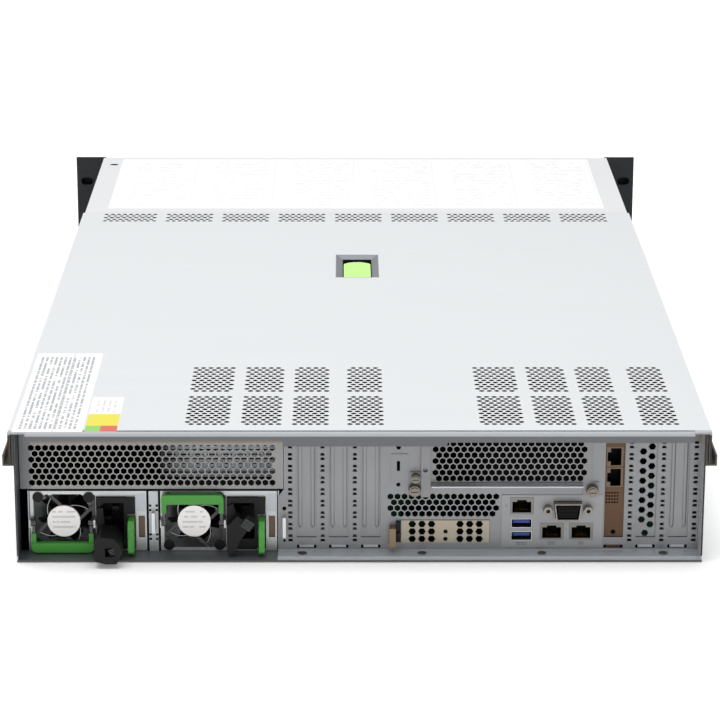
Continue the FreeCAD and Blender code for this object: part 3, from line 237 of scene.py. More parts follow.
def rear_cover_finish(colour):
    """Zinc sheet with two labels and grey dashes for their print; painted shade makes the bend grey, the lip
    and its ends darker and the inside near black.
    """
    net, x, y, z = zinc("rear_cover_sheet", colour)
    up = net.up() > 0.9
    # painted shade: the bend greyer than the top, with less shine
    bend = y > 368.7
    net.tint(bend, (0.42, 0.435, 0.45))
    net.drive("Specular IOR Level", bend * -0.42 + 0.5)
    # painted shade on the rear-facing lip
    net.tint((y > 372.3) * (z < 84.2), (0.17, 0.175, 0.185))
    # painted shade, dark, at the ends of the lip
    net.tint((y > 372.3) * (z < 85.0) * (x.math("ABSOLUTE") > 210.0), (0.06, 0.05, 0.045))
    # painted shade, near black, on the inside of the cover
    inner = (z < 86.86) * x.within(-218.3, 218.3) * (y < 370.0)
    net.tint(inner, INNER_SHADE_BLACK)
    rating = x.within(172.2, 215.9) * y.within(206.0, 371.5) * up
    net.tint(rating, (0.87, 0.88, 0.89))
    dashes = lines(net, y, x, 3.1, 0.5, 0.44) * x.within(175.0, 213.5) * y.within(214.0, 366.0) * up
    net.tint(dashes * 0.75, (0.24, 0.24, 0.25))
    rule = x.within(190.5, 191.2).either(y.within(262.0, 262.9)) * rating
    net.tint(rule * 0.5, (0.30, 0.30, 0.31))
    second = x.within(151.0, 171.0) * y.within(302.0, 370.0) * up
    net.tint(second, (0.90, 0.90, 0.87))
    grey = lines(net, y, x, 3.6) * x.within(153.5, 168.5) * y.within(308.0, 334.0) * up
    net.tint(grey * 0.5, DASH_GREY)
    net.tint(second * y.within(336.0, 359.5), (0.74, 0.66, 0.07))
    net.tint(second * (y > 359.5) * (x > 161.5), (0.28, 0.56, 0.15))
    net.tint(second * (y > 359.5) * (x < 161.5), (0.64, 0.13, 0.10))
    net.drive("Metallic", (rating.either(second).either(inner).either(bend) * -0.30) + 0.30)
    return net.material


def front_cover_finish():
    """Zinc sheet under one wide pale label with faint columns of grey lines, and painted shade, near black,
    on its inside.
    """
    net, x, y, z = zinc("front_cover_sheet", (0.84, 0.85, 0.86))
    up = net.up() > 0.9
    label = x.within(-200.0, 200.0) * y.within(-367.0, -195.0) * up
    net.tint(label, (0.88, 0.88, 0.875))
    across = ((x + 200.0) / 66.6).fract()
    column = across.within(0.08, 0.80)
    dashes = lines(net, x, y, 5.2, keep=0.52, length=0.16) * column * y.within(-360.0, -205.0)
    net.tint(dashes * label * 0.40, (0.42, 0.42, 0.43))
    frames = across.within(0.02, 0.035) * y.within(-362.0, -203.0)
    net.tint(frames * label * 0.3, (0.50, 0.50, 0.50))
    # painted shade, near black, on the inside of the cover
    inner = (z < 86.56) * x.within(-217.1, 217.1)
    net.tint(inner, INNER_SHADE_BLACK)
    net.drive("Metallic", label.either(inner) * -0.30 + 0.30)
    return net.material


def steel(name, colour, metal=0.55, low=0.28, high=0.46, along="none"):
    """Plain metal, its roughness between low and high."""
    net = Net(name, colour, metal=metal)
    x, y, z = net.axes()
    streak = grain(net, x, y, z, low, high, along)
    net.tint(streak * 0.5, [c * 0.78 for c in colour])
    return net, x, y, z


def plastic(name, colour, rough=0.5, fine=0.35):
    """Moulded plastic with a fine grain; dark plastics shine less."""
    net = Net(name, colour, rough=rough)
    if max(colour) < 0.05:
        net.shader.inputs["Specular IOR Level"].default_value = 0.22
    x, y, z = net.axes()
    speck = net.noise(x * 3.0, y * 3.0, z * 3.0, 2.0)
    net.drive("Roughness", speck * 0.18 + (rough - 0.09))
    net.bump(speck, fine, 0.00004)
    return net, x, y, z


def psu_face_finish():
    """Bright sheet, dark in the fan's bay; a pale hub disc and four black screw heads."""
    net, x, y, z = steel("psu_face_sheet", (0.56, 0.57, 0.58), metal=0.75)
    dz = z - HUB_Z
    dark = None
    for x_out in PSU_OUT.values():
        dx = x - (x_out - HUB_IN)
        hub = (dx * dx + dz * dz) < 10.5 * 10.5
        bay = x.within(x_out - 41.4, x_out - 2.2) * z.within(3.9, 38.8) * (y < 353.7)
        net.tint(bay, (0.045, 0.045, 0.047))
        dark = bay if dark is None else dark.either(bay)
        net.tint(hub * (y > 352.0), (0.76, 0.74, 0.73))
        print_area = hub * z.within(15.0, 28.4) * x.within(x_out - 28.5, x_out - 14.0)
        net.tint(lines(net, x, z, 3.4, 0.36) * print_area * 0.45, (0.25, 0.25, 0.26))
        ax = dx.math("ABSOLUTE") - 16.0
        az = dz.math("ABSOLUTE") - 16.0
        heads = ((ax * ax + az * az) < 3.5 * 3.5) * (y > 353.6)
        net.tint(heads, INNER_SHADE_BLACK)
        strip = x.within(x_out - 73.0, x_out - 67.4)
        net.tint(strip * z.within(28.0, 40.0), (0.42, 0.45, 0.48))
    net.drive("Metallic", dark * -0.75 + 0.75)
    return net.material


def io_plate_finish():
    """Pale plate with small grey marks under the ports."""
    net, x, y, z = steel("io_plate_sheet", (0.34, 0.345, 0.355), metal=0.35)
    mark = None
    for cx, cz, w in ((-121.6, 6.8, 5.0), (-140.2, 6.8, 3.4), (-102.4, 6.4, 7.0), (-131.4, 22.2, 3.2),
                      (-92.6, 32.0, 1.4)):
        box = x.within(cx - w / 2, cx + w / 2) * z.within(cz - 1.1, cz + 1.1)
        mark = box if mark is None else mark.either(box)
    speck = ((x / 0.9).fract() < 0.6) * ((z / 1.1).fract() < 0.62)
    net.tint(mark * speck * (y > 353.9), (0.10, 0.10, 0.10))
    return net.material


def usb_finish():
    """Chrome shell and blue tongue, with painted shade, near black, on the inside of the shell."""
    net, x, y, z = steel("usb_port_metal", (0.62, 0.63, 0.64), metal=0.9, low=0.2, high=0.34)
    inside = x.within(-108.8, -96.0) * y.within(330.0, 353.95)
    # painted shade, near black, inside the port
    net.tint(inside, (0.03, 0.03, 0.03))
    for z0 in (16.9, 8.4):
        tongue = inside * z.within(z0 + 2.8, z0 + 5.3)
        net.tint(tongue, (0.010, 0.045, 0.30))
    net.drive("Metallic", inside * -0.9 + 0.9)
    return net.material


def video_finish():
    """Nickel shell and nuts around a near-black contact block."""
    net, x, y, z = steel("video_port_metal", (0.27, 0.25, 0.22), metal=0.9, low=0.22, high=0.36)
    core = x.within(-138.6, -124.2) * z.within(24.0, 34.0) * y.within(340.0, 359.2)
    shade(net, core, 0.9)
    return net.material


def jack_finish():
    """Dull shell; the walls of the mouth are black."""
    net, x, y, z = steel("jack_metal", (0.22, 0.215, 0.20), metal=0.8, low=0.26, high=0.40)
    shade(net, y < 353.95, 0.8)
    return net.material


def board_finish(name, colour):
    """Solder mask with a maze of slightly lighter tracks."""
    net, x, y, z = plastic(name, colour, 0.38)
    wave = net.noise(x * 0.12, y * 0.12, z * 0.12, 1.0)
    tracks = (((x + wave * 30.0) / 2.4).fract() < 0.3).either(((y + wave * 24.0) / 3.2).fract() < 0.25)
    net.tint(tracks * 0.5, [min(1.0, c * 1.6 + 0.01) for c in colour])
    return net.material


def card_finish():
    """Expansion card: green board, dark chip, jacks in dull metal with black mouths."""
    net, x, y, z = plastic("lan_card_mix", (0.015, 0.10, 0.04), 0.4)
    shells = y > 330.5
    net.tint(shells, (0.16, 0.12, 0.085))
    inner = shells * (y < 352.4)
    net.tint(inner, HOLE_SHADE_BLACK)
    net.drive("Metallic", shells * (y > 352.4) * 0.8)
    net.drive("Specular IOR Level", inner * -0.45 + 0.5)
    return net.material


def mainboard_finish():
    """Green board; sockets standing on it are black plastic, posts are brass."""
    net, x, y, z = plastic("mainboard_mix", (0.012, 0.09, 0.035), 0.4)
    net.tint(z > 8.2, (0.02, 0.02, 0.022))
    net.tint(z < 6.3, (0.45, 0.33, 0.12))
    return net.material


def cage_finish():
    """Zinc face and bright wire eyes; painted shade, near black, inside, in the gap under the top plate and
    on the divider walls, but for the louvred baffle, which is painted pale again and fades into that shade
    towards x = 127.
    """
    net, x, y, z = steel("cage_sheet", (0.50, 0.52, 0.54), metal=0.6)
    net.tint(y > 353.7, (0.75, 0.76, 0.77))
    walls = x.within(126.3, 127.25).either(x.within(133.15, 134.1))
    # painted shade, near black, inside, under the top plate and on the divider walls
    shade(net, (y < 352.4).either((z > 41.4) * (y < 353.6)).either(walls * (y < 353.6)), 0.6)
    baffle = y.within(331.0, 332.6) * x.within(49.0, 129.0) * (z > 43.5)
    # the baffle is painted pale again, fading into the painted shade towards x = 127
    fade = ((x * -1.0 + 127.0) / 18.0).clamp()
    net.tint(baffle * fade, (0.80, 0.83, 0.86))
    return net.material


def bail_finish(colour):
    """Green grip on short wire ends beside the pivot."""
    net, x, y, z = plastic("handle_green", colour, 0.36)
    wire = (z - HUB_Z).math("ABSOLUTE") < 6.65
    net.tint(wire, (0.10, 0.10, 0.10))
    net.drive("Metallic", wire * 0.8)
    return net.material


def latch_finish():
    """Grey bevels around a black pocket."""
    net, x, y, z = plastic("recess_grey", (0.19, 0.20, 0.22), 0.42)
    net.tint(z < 84.25, (0.008, 0.008, 0.009))
    return net.material


def sheet_finish(name, colour, front, low=2.3, margin=999.0):
    """Rear sheet with painted shade, near black, on the hole walls behind its front plane.

    It is pale below the height low, painted light on the up-facing foot; brownish under the lip, the lip's
    painted shadow; and dark past x = margin, painted shade.
    """
    net, x, y, z = steel(name, colour)
    # painted light on the up-facing foot below the height low
    net.tint(z < low, (0.62, 0.66, 0.70))
    # painted shadow of the lip, brownish, on the top of the sheet
    net.tint((z > 73.6) * (y < 354.6), [colour[0] * 0.78, colour[1] * 0.66, colour[2] * 0.52])
    # painted shade past x = margin
    net.tint(x > margin, [colour[0] * 0.58, colour[1] * 0.62, colour[2] * 0.66])
    # painted shade, near black, on the hole walls
    shade(net, (y < front) * (z > low), 0.55)
    return net.material


def riser_finish(colour):
    """Sheet of the riser module with painted light on its shelf and painted shade, near black, on its hole
    walls.
    """
    net, x, y, z = steel("riser_sheet", colour)
    # painted light on the shelf
    net.tint((y > 354.6) * (z < 48.0) * x.within(-142.0, -44.5), (0.56, 0.59, 0.62))
    # painted shade, near black, on the hole walls
    shade(net, (y < 354.2) * (z > 47.9) * x.within(-146.4, -44.6), 0.55)
    return net.material


def module_finish(colour):
    """Tan sheet with painted shade, near black, on its hole walls; the pull tab beside it is bronze."""
    net, x, y, z = steel("module_sheet", colour, metal=0.7, low=0.24, high=0.4)
    net.tint(x > -24.0, (0.23, 0.17, 0.11))
    # painted shade, near black, on the hole walls
    shade(net, (y < 354.0) * (x < -24.0), 0.7)
    return net.material


def finishes(props):
    """Node name to material."""
    table = {"top_cover": rear_cover_finish(tuple(props.cover_colour)), "front_cover": front_cover_finish()}
    plain = {
        ("chassis_tray",): tray_finish(tuple(props.tray_colour)),
        # dark brown-grey rails: painted shade on the outer sides of zinc rails
        ("side_rails",): steel("rail_sheet_painted_shade", (0.085, 0.070, 0.056))[0],
        ("drive_cage",): steel("drive_cage_sheet", (0.20, 0.20, 0.21))[0],
        ("lan_card_bracket",): steel("bracket_sheet", (0.115, 0.066, 0.038), metal=0.7, along="z")[0],
        ("thumbscrews", "ledge_screws"):
            steel("screw_nickel", (0.21, 0.19, 0.165), metal=0.95, low=0.2, high=0.3)[0],
        ("cover_latch",): plastic("latch_green", tuple(props.latch_green), 0.42)[0],
        ("psu_1_release", "psu_2_release"): plastic("touch_green", tuple(props.touch_green), 0.36)[0],
        ("psu_1_case", "psu_2_case"): steel("psu_case_sheet", (0.50, 0.51, 0.52), metal=0.8)[0],
        ("psu_1_fan", "psu_2_fan", "psu_1_inlet", "psu_2_inlet", "psu_1_retainer", "psu_2_retainer"):
            plastic("inlet_black", (0.008, 0.008, 0.009), 0.45)[0],
        ("fan_cage", "air_shroud", "power_button", "fan_rotor_1", "fan_rotor_2", "fan_rotor_3",
         "fan_rotor_4", "fan_rotor_5"): plastic("inner_black", (0.018, 0.018, 0.02), 0.5)[0],
        ("left_ear", "right_ear", "front_panel"): plastic("ear_black", tuple(props.ear_black), 0.48)[0],
        ("cpu_heatsinks",): steel("fin_aluminium", (0.66, 0.67, 0.68), metal=0.9)[0],
        ("drive_carrier_1", "drive_carrier_2", "drive_carrier_3", "drive_carrier_4"):
            plastic("carrier_grey", (0.06, 0.06, 0.065), 0.45)[0],
        ("carrier_lever_1", "carrier_lever_2", "carrier_lever_3", "carrier_lever_4"):
            plastic("lever_grey", (0.035, 0.035, 0.038), 0.4)[0],
    }
    for names, net in plain.items():
        for name in names:
            table[name] = net.material
    table["psu_1_face"] = table["psu_2_face"] = psu_face_finish()
    table["io_plate"] = io_plate_finish()
    table["usb_ports"] = usb_finish()
    table["video_port"] = video_finish()
    table["network_jacks"] = jack_finish()
    table["lan_card"] = card_finish()
    table["mainboard"] = mainboard_finish()
    table["psu_cage"] = cage_finish()
    table["psu_1_bail"] = table["psu_2_bail"] = bail_finish(tuple(props.touch_green))
    table["latch_frame"] = latch_finish()
    table["rear_panel"] = sheet_finish("rear_sheet", tuple(props.rear_colour), HOLE_Y)
    # grille sheet colour darker than the zinc: painted shade on a rear-facing sheet
    table["grille_panel"] = sheet_finish("grille_sheet", (0.30, 0.295, 0.29), HOLE_Y, margin=206.8)
    table["slot_covers"] = sheet_finish("slot_sheet", tuple(props.slot_colour), 352.3, low=7.6)
    table["vented_slot_cover"] = table["slot_covers"]
    table["riser_module"] = riser_finish(tuple(props.riser_colour))
    table["module_cover"] = module_finish(tuple(props.tan_colour))
    table["memory_modules"] = board_finish("memory_board", (0.012, 0.10, 0.04))
    table["drive_backplane"] = board_finish("backplane_board", (0.012, 0.08, 0.035))
    return table


# ------------------------------------------------------------------ meshes
def piece(name, verts, faces, material, body, smooth=False):
    """A new mesh in the row frame, given in millimetres, that rides on a body."""
    mesh = bpy.data.meshes.new(name)
    mesh.from_pydata((np.asarray(verts, float) * mm).tolist(), [], faces)
    mesh.validate()
    mesh.update()
    if smooth:
        mesh.shade_smooth()
    obj = bpy.data.objects.new(name, mesh)
    bpy.context.scene.collection.objects.link(obj)
    obj.data.materials.append(material)
    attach(obj, body)
    return obj


def boxes(spans):
    """Closed boxes from (x0, x1, y0, y1, z0, z1): corner k picks bit 0, 1, 2 of k."""
    quads = ((0, 2, 3, 1), (4, 5, 7, 6), (0, 1, 5, 4), (2, 6, 7, 3), (0, 4, 6, 2), (1, 3, 7, 5))
    verts, faces = [], []
    for span in spans:
        at = len(verts)
        verts += [(span[k & 1], span[2 + (k >> 1 & 1)], span[4 + (k >> 2 & 1)]) for k in range(8)]
        faces += [tuple(at + i for i in q) for q in quads]
    return verts, faces


def lathe(profile, centre, axis="y", sides=48, wave=0.0, count=0):
    """Turned shape: (height, radius) pairs; radius may carry count ripples of size wave."""
    t = np.linspace(0, 2 * np.pi, sides, endpoint=False)
    verts = []
    for h, r, ripple in profile:
        rr = r + ripple * wave * np.cos(count * t)
        a, b = rr * np.cos(t), rr * np.sin(t)
        flat = np.full(sides, h)
        order = {"y": (a, flat, b), "z": (a, b, flat), "x": (flat, a, b)}[axis]
        verts += (np.stack(order, 1) + np.asarray(centre)).tolist()
    faces = []
    for k in range(len(profile) - 1):
        for i in range(sides):
            j = (i + 1) % sides
            faces.append((k * sides + i, k * sides + j, (k + 1) * sides + j, (k + 1) * sides + i))
    faces.append(tuple(reversed(range(sides))))
    faces.append(tuple((len(profile) - 1) * sides + i for i in range(sides)))
    return verts, faces


def tube(path, radius, sides=10):
    """Round wire along a path of points, with closed ends."""
    pts = np.asarray(path, float)
    ahead = np.gradient(pts, axis=0)
    ahead /= np.linalg.norm(ahead, axis=1)[:, None]
    ref = np.array([0.0, 1.0, 0.0]) if abs(ahead[0][1]) < 0.9 else np.array([0.0, 0.0, 1.0])
    u = np.cross(ahead, ref)
    u /= np.linalg.norm(u, axis=1)[:, None]
    v = np.cross(ahead, u)
    t = np.linspace(0, 2 * np.pi, sides, endpoint=False)
    ring = u[:, None] * np.cos(t)[None, :, None] + v[:, None] * np.sin(t)[None, :, None]
    loops = pts[:, None] + radius * ring
    verts = loops.reshape(-1, 3).tolist()
    faces = []
    for k in range(len(pts) - 1):
        for i in range(sides):
            j = (i + 1) % sides
            faces.append((k * sides + i, k * sides + j, (k + 1) * sides + j, (k + 1) * sides + i))
    faces.append(tuple(reversed(range(sides))))
    faces.append(tuple((len(pts) - 1) * sides + i for i in range(sides)))
    return verts, faces


def merged(shapes):
    """Several (verts, faces) shapes as one."""
    verts, faces = [], []
    for v, f in shapes:
        at = len(verts)
        verts += list(v)
        faces += [tuple(at + i for i in face) for face in f]
    return verts, faces


# ------------------------------------------------------------------ small pieces
def make_contacts(props):
    """Eight sprung contacts in each jack: a wire that rises from the floor of the mouth."""
    gold = steel("contact_gold", (0.80, 0.55, 0.18), metal=0.95, low=0.18, high=0.28)[0].material
    shapes = []
    for cx, cz in ((-102.4, 27.2), (-121.6, 10.1), (-140.2, 10.1)):
        for k in range(8):
            x = cx + (k - 3.5) * props.contact_pitch
            shapes.append(tube([(x, PANEL_Y - 10.0, cz + 0.6), (x, PANEL_Y - 3.0, cz + 0.7),
                                (x, PANEL_Y - 2.4, cz + 1.0), (x, PANEL_Y - 9.0, cz + 3.0)], 0.22, 6))
    verts, faces = merged(shapes)
    piece("jack_contacts", verts, faces, gold, "chassis")


def make_knurls(props):
    """Ribbed collars on the two large thumbscrews."""
    nickel = steel("knurl_nickel", (0.22, 0.19, 0.155), metal=0.95, low=0.2, high=0.32)[0].material
    shapes = []
    for x, z in ((-34.6, 43.2), (-146.6, 42.6)):
        profile = ((0.3, 3.4, 0), (0.5, 3.72, 1), (3.4, 3.72, 1), (3.7, 3.4, 0))
        shapes.append(lathe(profile, (x, PANEL_Y + 0.8, z), "y", 96, props.knurl_depth, 24))
    verts, faces = merged(shapes)
    piece("thumbscrew_collars", verts, faces, nickel, "chassis")


def make_board_parts(props):
    """Capacitors in rows and square chips on the main board, clear of the supplies."""
    can = steel("can_aluminium", (0.55, 0.56, 0.60), metal=0.8)[0].material
    chip = plastic("chip_black", (0.02, 0.02, 0.021), 0.4)[0].material
    top = 8.0
    cans = []
    for k in range(props.can_count):
        x = -150.0 + 16.0 * (k % 10)
        y = 92.0 + 14.0 * (k // 10)
        cans.append(lathe(((0.0, 4.0, 0), (9.6, 4.0, 0), (10.2, 3.6, 0)), (x, y, top), "z", 20))
    verts, faces = merged(cans)
    piece("board_capacitors", verts, faces, can, "chassis", True)
    chips = ((-60, 130, 34), (-120, 150, 26), (-90, 215, 20), (-20, 190, 28), (-180, 190, 22))
    spans = [(x, x + w, y, y + w, top, top + 2.2) for x, y, w in chips]
    verts, faces = boxes(spans)
    piece("board_chips", verts, faces, chip, "chassis")


def make_guards(props):
    """Curved wires of each fan guard: an arc from the hub disc out to the window."""
    bright = steel("guard_wire", (0.36, 0.36, 0.37), metal=0.9, low=0.2, high=0.3)[0].material
    t = np.linspace(0, 1, 14)
    r = 10.2 + t * 7.6
    for number, x_out in PSU_OUT.items():
        shapes = []
        for k in range(4):
            angle = math.radians(90 * k + 20) + t * math.radians(48)
            path = np.stack([x_out - HUB_IN + r * np.cos(angle), np.full(14, PANEL_Y - 0.7),
                             HUB_Z + r * np.sin(angle)], 1)
            shapes.append(tube(path, props.guard_radius, 8))
        verts, faces = merged(shapes)
        piece("fan_guard_%d" % number, verts, faces, bright, "psu_%d" % number, True)


def make_strap_ends(props):
    """Grey cap and ratchet ribs on each cable retainer."""
    grey = plastic("strap_grey", (0.052, 0.055, 0.058), 0.4)[0].material
    for number, x_out in PSU_OUT.items():
        high = 23.4 if number == 2 else 9.5
        lean = math.radians(35 if number == 2 else -20)
        spans = [(-3.4, 3.4, 12.2, 13.6 + 0.2 * k, -2.6 + 1.3 * k, -1.9 + 1.3 * k) for k in range(5)]
        verts, faces = boxes([(-3.0, 3.0, 0.0, 12.3, -2.8, 2.9)] + spans)
        c, s = math.cos(lean), math.sin(lean)
        centre = (x_out - 55.2, PANEL_Y + 2.6, high)
        deep = 0.84 if number == 2 else 1.66
        turned = [(centre[0] + v[0] * c - v[2] * s, centre[1] + v[1] * deep, centre[2] + v[0] * s + v[2] * c)
                  for v in verts]
        piece("strap_end_%d" % number, turned, faces, grey, "psu_%d" % number)


def make_leaves(props):
    """Bronze spring leaf in the slot beside each release lever."""
    bronze = steel("leaf_bronze", (0.16, 0.105, 0.07), metal=0.6)[0].material
    for number, x_out in PSU_OUT.items():
        verts, faces = boxes([(x_out - 72.2, x_out - 68.6, PANEL_Y - 2.4, PANEL_Y - 1.4, 10.7, 24.8)])
        piece("spring_leaf_%d" % number, verts, faces, bronze, "psu_%d" % number)


def make_module_latch(props):
    """Black catch between the pull tab and the network-module cover."""
    black = plastic("catch_black", (0.010, 0.010, 0.011), 0.45)[0].material
    verts, faces = boxes([(-25.9, -23.0, PANEL_Y + 0.02, PANEL_Y + 2.6, 8.0, 21.6),
                          (-25.9, -23.0, PANEL_Y + 0.02, PANEL_Y + 4.2, 11.2, 14.6)])
    piece("module_catch", verts, faces, black, "chassis")


def make_lamps(props):
    """Two small lenses beside each drive lever."""
    lens = plastic("lamp_lens", (0.10, 0.35, 0.12), 0.3)[0].material
    for k in range(4):
        x = 107.0 * (k - 1.5) + 44.0
        verts, faces = boxes([(x + a, x + a + 2.4, -385.5, -384.9, 5.0, 6.2) for a in (-3.0, 0.6)])
        piece("drive_lamp_%d" % (k + 1), verts, faces, lens, "carrier_%d" % (k + 1))


# ------------------------------------------------------------------ stage
FLOOR_HALF = 30.0                       # metres from the centre to the floor's edge
FLOOR_GLOW = 0.14                       # lifts the floor to white where the view sees it
CAMERA_AT = (0.01002, 2.07327, 0.65931)
CAMERA_PITCH = math.radians(17.17)      # below the horizontal
CAMERA_YAW = 0.005865


def make_stage(props):
    """Floor, white surroundings, soft lights and the camera."""
    mesh = bpy.data.meshes.new("floor")
    h = FLOOR_HALF
    mesh.from_pydata([(-h, -h, 0), (h, -h, 0), (h, h, 0), (-h, h, 0)], [], [(0, 1, 2, 3)])
    floor = bpy.data.objects.new("floor", mesh)
    floor.location.z = -0.0005
    bpy.context.scene.collection.objects.link(floor)
    net = Net("floor_white", (0.96, 0.96, 0.96), rough=0.8)
    net.shader.inputs["Emission Color"].default_value = (1.0, 1.0, 1.0, 1.0)
    rays = net.tree.nodes.new("ShaderNodeLightPath").outputs
    seen = Sock(net.tree, rays["Is Camera Ray"]).either(Sock(net.tree, rays["Is Glossy Ray"]))
    x, y, z = net.axes()
    far = ((x * x + y * y).math("SQRT") / 1500.0 - 0.8).clamp()
    net.drive("Emission Strength", seen * (far * (1.0 - FLOOR_GLOW) + FLOOR_GLOW))
    floor.data.materials.append(net.material)
    world = bpy.data.worlds.new("surroundings")
    bpy.context.scene.world = world
    world.use_nodes = True
    tree = world.node_tree
    base = tree.nodes["Background"]
    base.inputs[0].default_value = (1, 1, 1, 1)
    base.inputs[1].default_value = props.world_strength
    white = tree.nodes.new("ShaderNodeBackground")
    white.inputs[1].default_value = 1.0
    path = tree.nodes.new("ShaderNodeLightPath")
    seen = Sock(tree, path.outputs["Is Camera Ray"]).either(Sock(tree, path.outputs["Is Transmission Ray"]))
    blend = tree.nodes.new("ShaderNodeMixShader")
    tree.links.new(seen.out, blend.inputs[0])
    tree.links.new(base.outputs[0], blend.inputs[1])
    tree.links.new(white.outputs[0], blend.inputs[2])
    tree.links.new(blend.outputs[0], tree.nodes["World Output"].inputs[0])
    for name, place, aim, size, power in (
            ("over", (0.3, 0.1, 2.6), (0, 0.0, 0.0), 2.6, props.over_watts),
            ("behind_camera", (-0.9, 3.0, 1.5), (0, 0.3, 0.05), 1.6, props.fill_watts)):
        data = bpy.data.lights.new(name, "AREA")
        data.shape = "SQUARE"
        data.size = size
        data.energy = power
        lamp = bpy.data.objects.new(name, data)
        lamp.location = place
        lamp.rotation_euler = (Vector(aim) - Vector(place)).to_track_quat("-Z", "Y").to_euler()
        bpy.context.scene.collection.objects.link(lamp)
    make_camera(props)
    bpy.context.scene.view_settings.view_transform = "Standard"


def make_camera(props):
    """Long lens behind and above the rear panel."""
    data = bpy.data.cameras.new("view")
    data.sensor_width = 36.0
    data.lens = props.lens
    data.clip_end = 50.0
    cam = bpy.data.objects.new("view", data)
    level = math.cos(CAMERA_PITCH)
    ahead = Vector((-math.sin(CAMERA_YAW) * level, -math.cos(CAMERA_YAW) * level, -math.sin(CAMERA_PITCH)))
    right = ahead.cross(Vector((0, 0, 1))).normalized()
    above = right.cross(ahead)
    turn = Matrix.Rotation(props.roll, 3, ahead)
    right, above = turn @ right, turn @ above
    basis = Matrix((right, above, -ahead)).transposed()
    cam.matrix_world = Matrix.Translation(CAMERA_AT) @ basis.to_4x4()
    bpy.context.scene.collection.objects.link(cam)
    bpy.context.scene.camera = cam


# ------------------------------------------------------------------ add-on
def colour_prop(name, description, default):
    return bpy.props.FloatVectorProperty(name=name, description=description, default=default,
                                         subtype="COLOR", size=3, min=0.0, max=1.0)


class ServerFinish(bpy.types.PropertyGroup):
    """Linear colours of the larger pieces"""
    cover_colour: colour_prop("Rear cover", "Zinc sheet of the rear cover", (0.80, 0.822, 0.838))
    tray_colour: colour_prop("Chassis", "Zinc sheet of the chassis tray", (0.56, 0.585, 0.61))
    # rear sheet, slot covers and riser module: darker copies of the zinc, painted shade on rear-facing
    # sheets
    rear_colour: colour_prop("Rear sheet", "Sheet round the ports", (0.28, 0.285, 0.295))
    slot_colour: colour_prop("Slot covers", "Sheet of the expansion-slot covers", (0.29, 0.295, 0.305))
    riser_colour: colour_prop("Riser module", "Sheet of the riser module", (0.26, 0.26, 0.265))
    tan_colour: colour_prop("Module cover", "Sheet of the network-module cover", (0.40, 0.35, 0.285))
    touch_green: colour_prop("Touch points", "Handles and release levers", (0.050, 0.33, 0.030))
    latch_green: colour_prop("Cover latch", "Lever of the cover latch", (0.50, 0.84, 0.25))
    ear_black: colour_prop("Ears", "Rack ears and front panel", (0.022, 0.025, 0.028))


class ServerDetail(bpy.types.PropertyGroup):
    """Sizes of the small pieces, in millimetres"""
    contact_pitch: bpy.props.FloatProperty(
        name="Contact pitch", description="Distance between jack contacts in millimetres",
        default=1.02, min=0.5, max=1.2)
    knurl_depth: bpy.props.FloatProperty(
        name="Knurl depth", description="Depth of the ribs of the thumbscrews in millimetres",
        default=0.14, min=0.0, max=0.3)
    can_count: bpy.props.IntProperty(
        name="Capacitors", description="Number of capacitors on the main board",
        default=30, min=1, max=30)
    guard_radius: bpy.props.FloatProperty(
        name="Guard wire radius", description="Radius of the fan guard wires in millimetres",
        default=0.42, min=0.2, max=0.6)


class ServerStage(bpy.types.PropertyGroup):
    """Lights and camera"""
    world_strength: bpy.props.FloatProperty(
        name="Surroundings", description="Strength of the light from all round", default=0.42, min=0.0)
    over_watts: bpy.props.FloatProperty(
        name="Overhead light", description="Power of the lamp above", unit="POWER", default=81.0, min=0.0)
    fill_watts: bpy.props.FloatProperty(
        name="Fill light", description="Power of the lamp behind the camera", unit="POWER",
        default=7.0, min=0.0)
    lens: bpy.props.FloatProperty(
        name="Lens", description="Focal length in millimetres", unit="CAMERA", default=144.778, min=1.0)
    roll: bpy.props.FloatProperty(
        name="Roll", description="Turn of the camera about its view", subtype="ANGLE", default=-0.00164)


class SERVER_OT_finishes(bpy.types.Operator):
    """Give every construction piece its finish"""
    bl_idname = "server.finishes"
    bl_label = "Finishes"

    def execute(self, context):
        table = finishes(context.scene.server_finish)
        for name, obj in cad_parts.items():
            obj.data.materials.clear()
            obj.data.materials.append(table[name])
        return {"FINISHED"}


class SERVER_OT_contacts(bpy.types.Operator):
    """Add the gold contacts of the network jacks"""
    bl_idname = "server.contacts"
    bl_label = "Jack contacts"

    def execute(self, context):
        make_contacts(context.scene.server_detail)
        return {"FINISHED"}


class SERVER_OT_knurls(bpy.types.Operator):
    """Add ribbed collars to the thumbscrews"""
    bl_idname = "server.knurls"
    bl_label = "Thumbscrew collars"

    def execute(self, context):
        make_knurls(context.scene.server_detail)
        return {"FINISHED"}


class SERVER_OT_board_parts(bpy.types.Operator):
    """Add capacitors and chips to the main board"""
    bl_idname = "server.board_parts"
    bl_label = "Board parts"

    def execute(self, context):
        make_board_parts(context.scene.server_detail)
        return {"FINISHED"}


class SERVER_OT_guards(bpy.types.Operator):
    """Add the curved wires of the supply fan guards"""
    bl_idname = "server.guards"
    bl_label = "Fan guards"

    def execute(self, context):
        make_guards(context.scene.server_detail)
        return {"FINISHED"}


class SERVER_OT_strap_ends(bpy.types.Operator):
    """Add the grey ends of the cable retainers"""
    bl_idname = "server.strap_ends"
    bl_label = "Strap ends"

    def execute(self, context):
        make_strap_ends(context.scene.server_detail)
        return {"FINISHED"}


class SERVER_OT_leaves(bpy.types.Operator):
    """Add the spring leaves beside the release levers"""
    bl_idname = "server.leaves"
    bl_label = "Spring leaves"

    def execute(self, context):
        make_leaves(context.scene.server_detail)
        return {"FINISHED"}


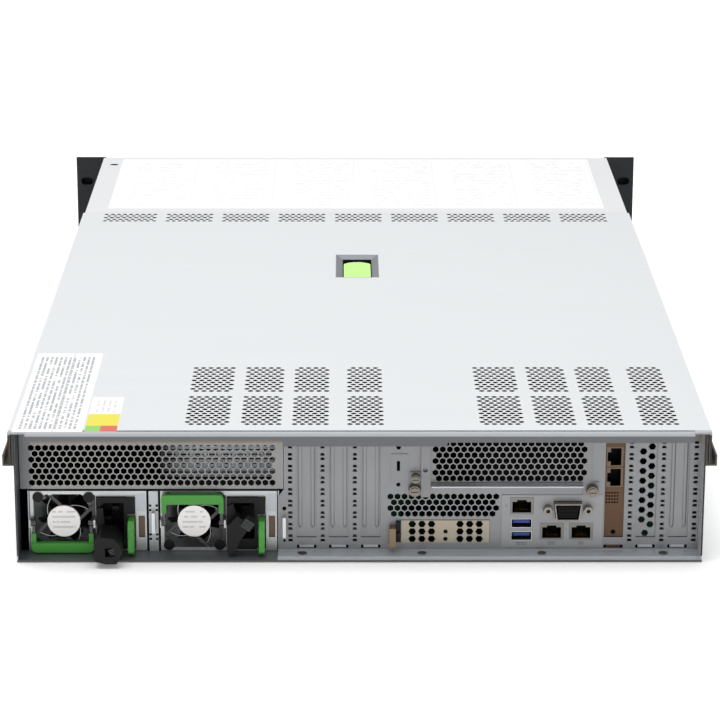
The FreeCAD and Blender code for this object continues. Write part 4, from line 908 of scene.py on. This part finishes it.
class SERVER_OT_module_latch(bpy.types.Operator):
    """Add the catch beside the network-module cover"""
    bl_idname = "server.module_latch"
    bl_label = "Module catch"

    def execute(self, context):
        make_module_latch(context.scene.server_detail)
        return {"FINISHED"}


class SERVER_OT_lamps(bpy.types.Operator):
    """Add the small lenses of the drive carriers"""
    bl_idname = "server.lamps"
    bl_label = "Drive lamps"

    def execute(self, context):
        make_lamps(context.scene.server_detail)
        return {"FINISHED"}


class SERVER_OT_stage(bpy.types.Operator):
    """Build the floor, the lights and the camera"""
    bl_idname = "server.stage"
    bl_label = "Stage"

    def execute(self, context):
        make_stage(context.scene.server_stage)
        return {"FINISHED"}


OPERATORS = (SERVER_OT_finishes, SERVER_OT_contacts, SERVER_OT_knurls, SERVER_OT_board_parts,
             SERVER_OT_guards, SERVER_OT_strap_ends, SERVER_OT_leaves, SERVER_OT_module_latch,
             SERVER_OT_lamps, SERVER_OT_stage)


class SERVER_PT_panel(bpy.types.Panel):
    """Sidebar panel with one button per group"""
    bl_idname = "SERVER_PT_panel"
    bl_label = "Rack server"
    bl_space_type = "VIEW_3D"
    bl_region_type = "UI"
    bl_category = "Server"

    def draw(self, context):
        scene = context.scene
        for props in (scene.server_finish, scene.server_detail, scene.server_stage):
            for name in props.__annotations__:
                self.layout.prop(props, name)
        for operator in OPERATORS:
            self.layout.operator(operator.bl_idname)


CLASSES = (ServerFinish, ServerDetail, ServerStage) + OPERATORS + (SERVER_PT_panel,)


def register():
    for cls in CLASSES:
        bpy.utils.register_class(cls)
    bpy.types.Scene.server_finish = bpy.props.PointerProperty(type=ServerFinish)
    bpy.types.Scene.server_detail = bpy.props.PointerProperty(type=ServerDetail)
    bpy.types.Scene.server_stage = bpy.props.PointerProperty(type=ServerStage)


def unregister():
    del bpy.types.Scene.server_stage
    del bpy.types.Scene.server_detail
    del bpy.types.Scene.server_finish
    for cls in reversed(CLASSES):
        bpy.utils.unregister_class(cls)


def main():
    register()
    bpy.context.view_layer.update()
    for operator in OPERATORS:
        group, name = operator.bl_idname.split(".")
        getattr(getattr(bpy.ops, group), name)()


if __name__ == "__main__":
    main()
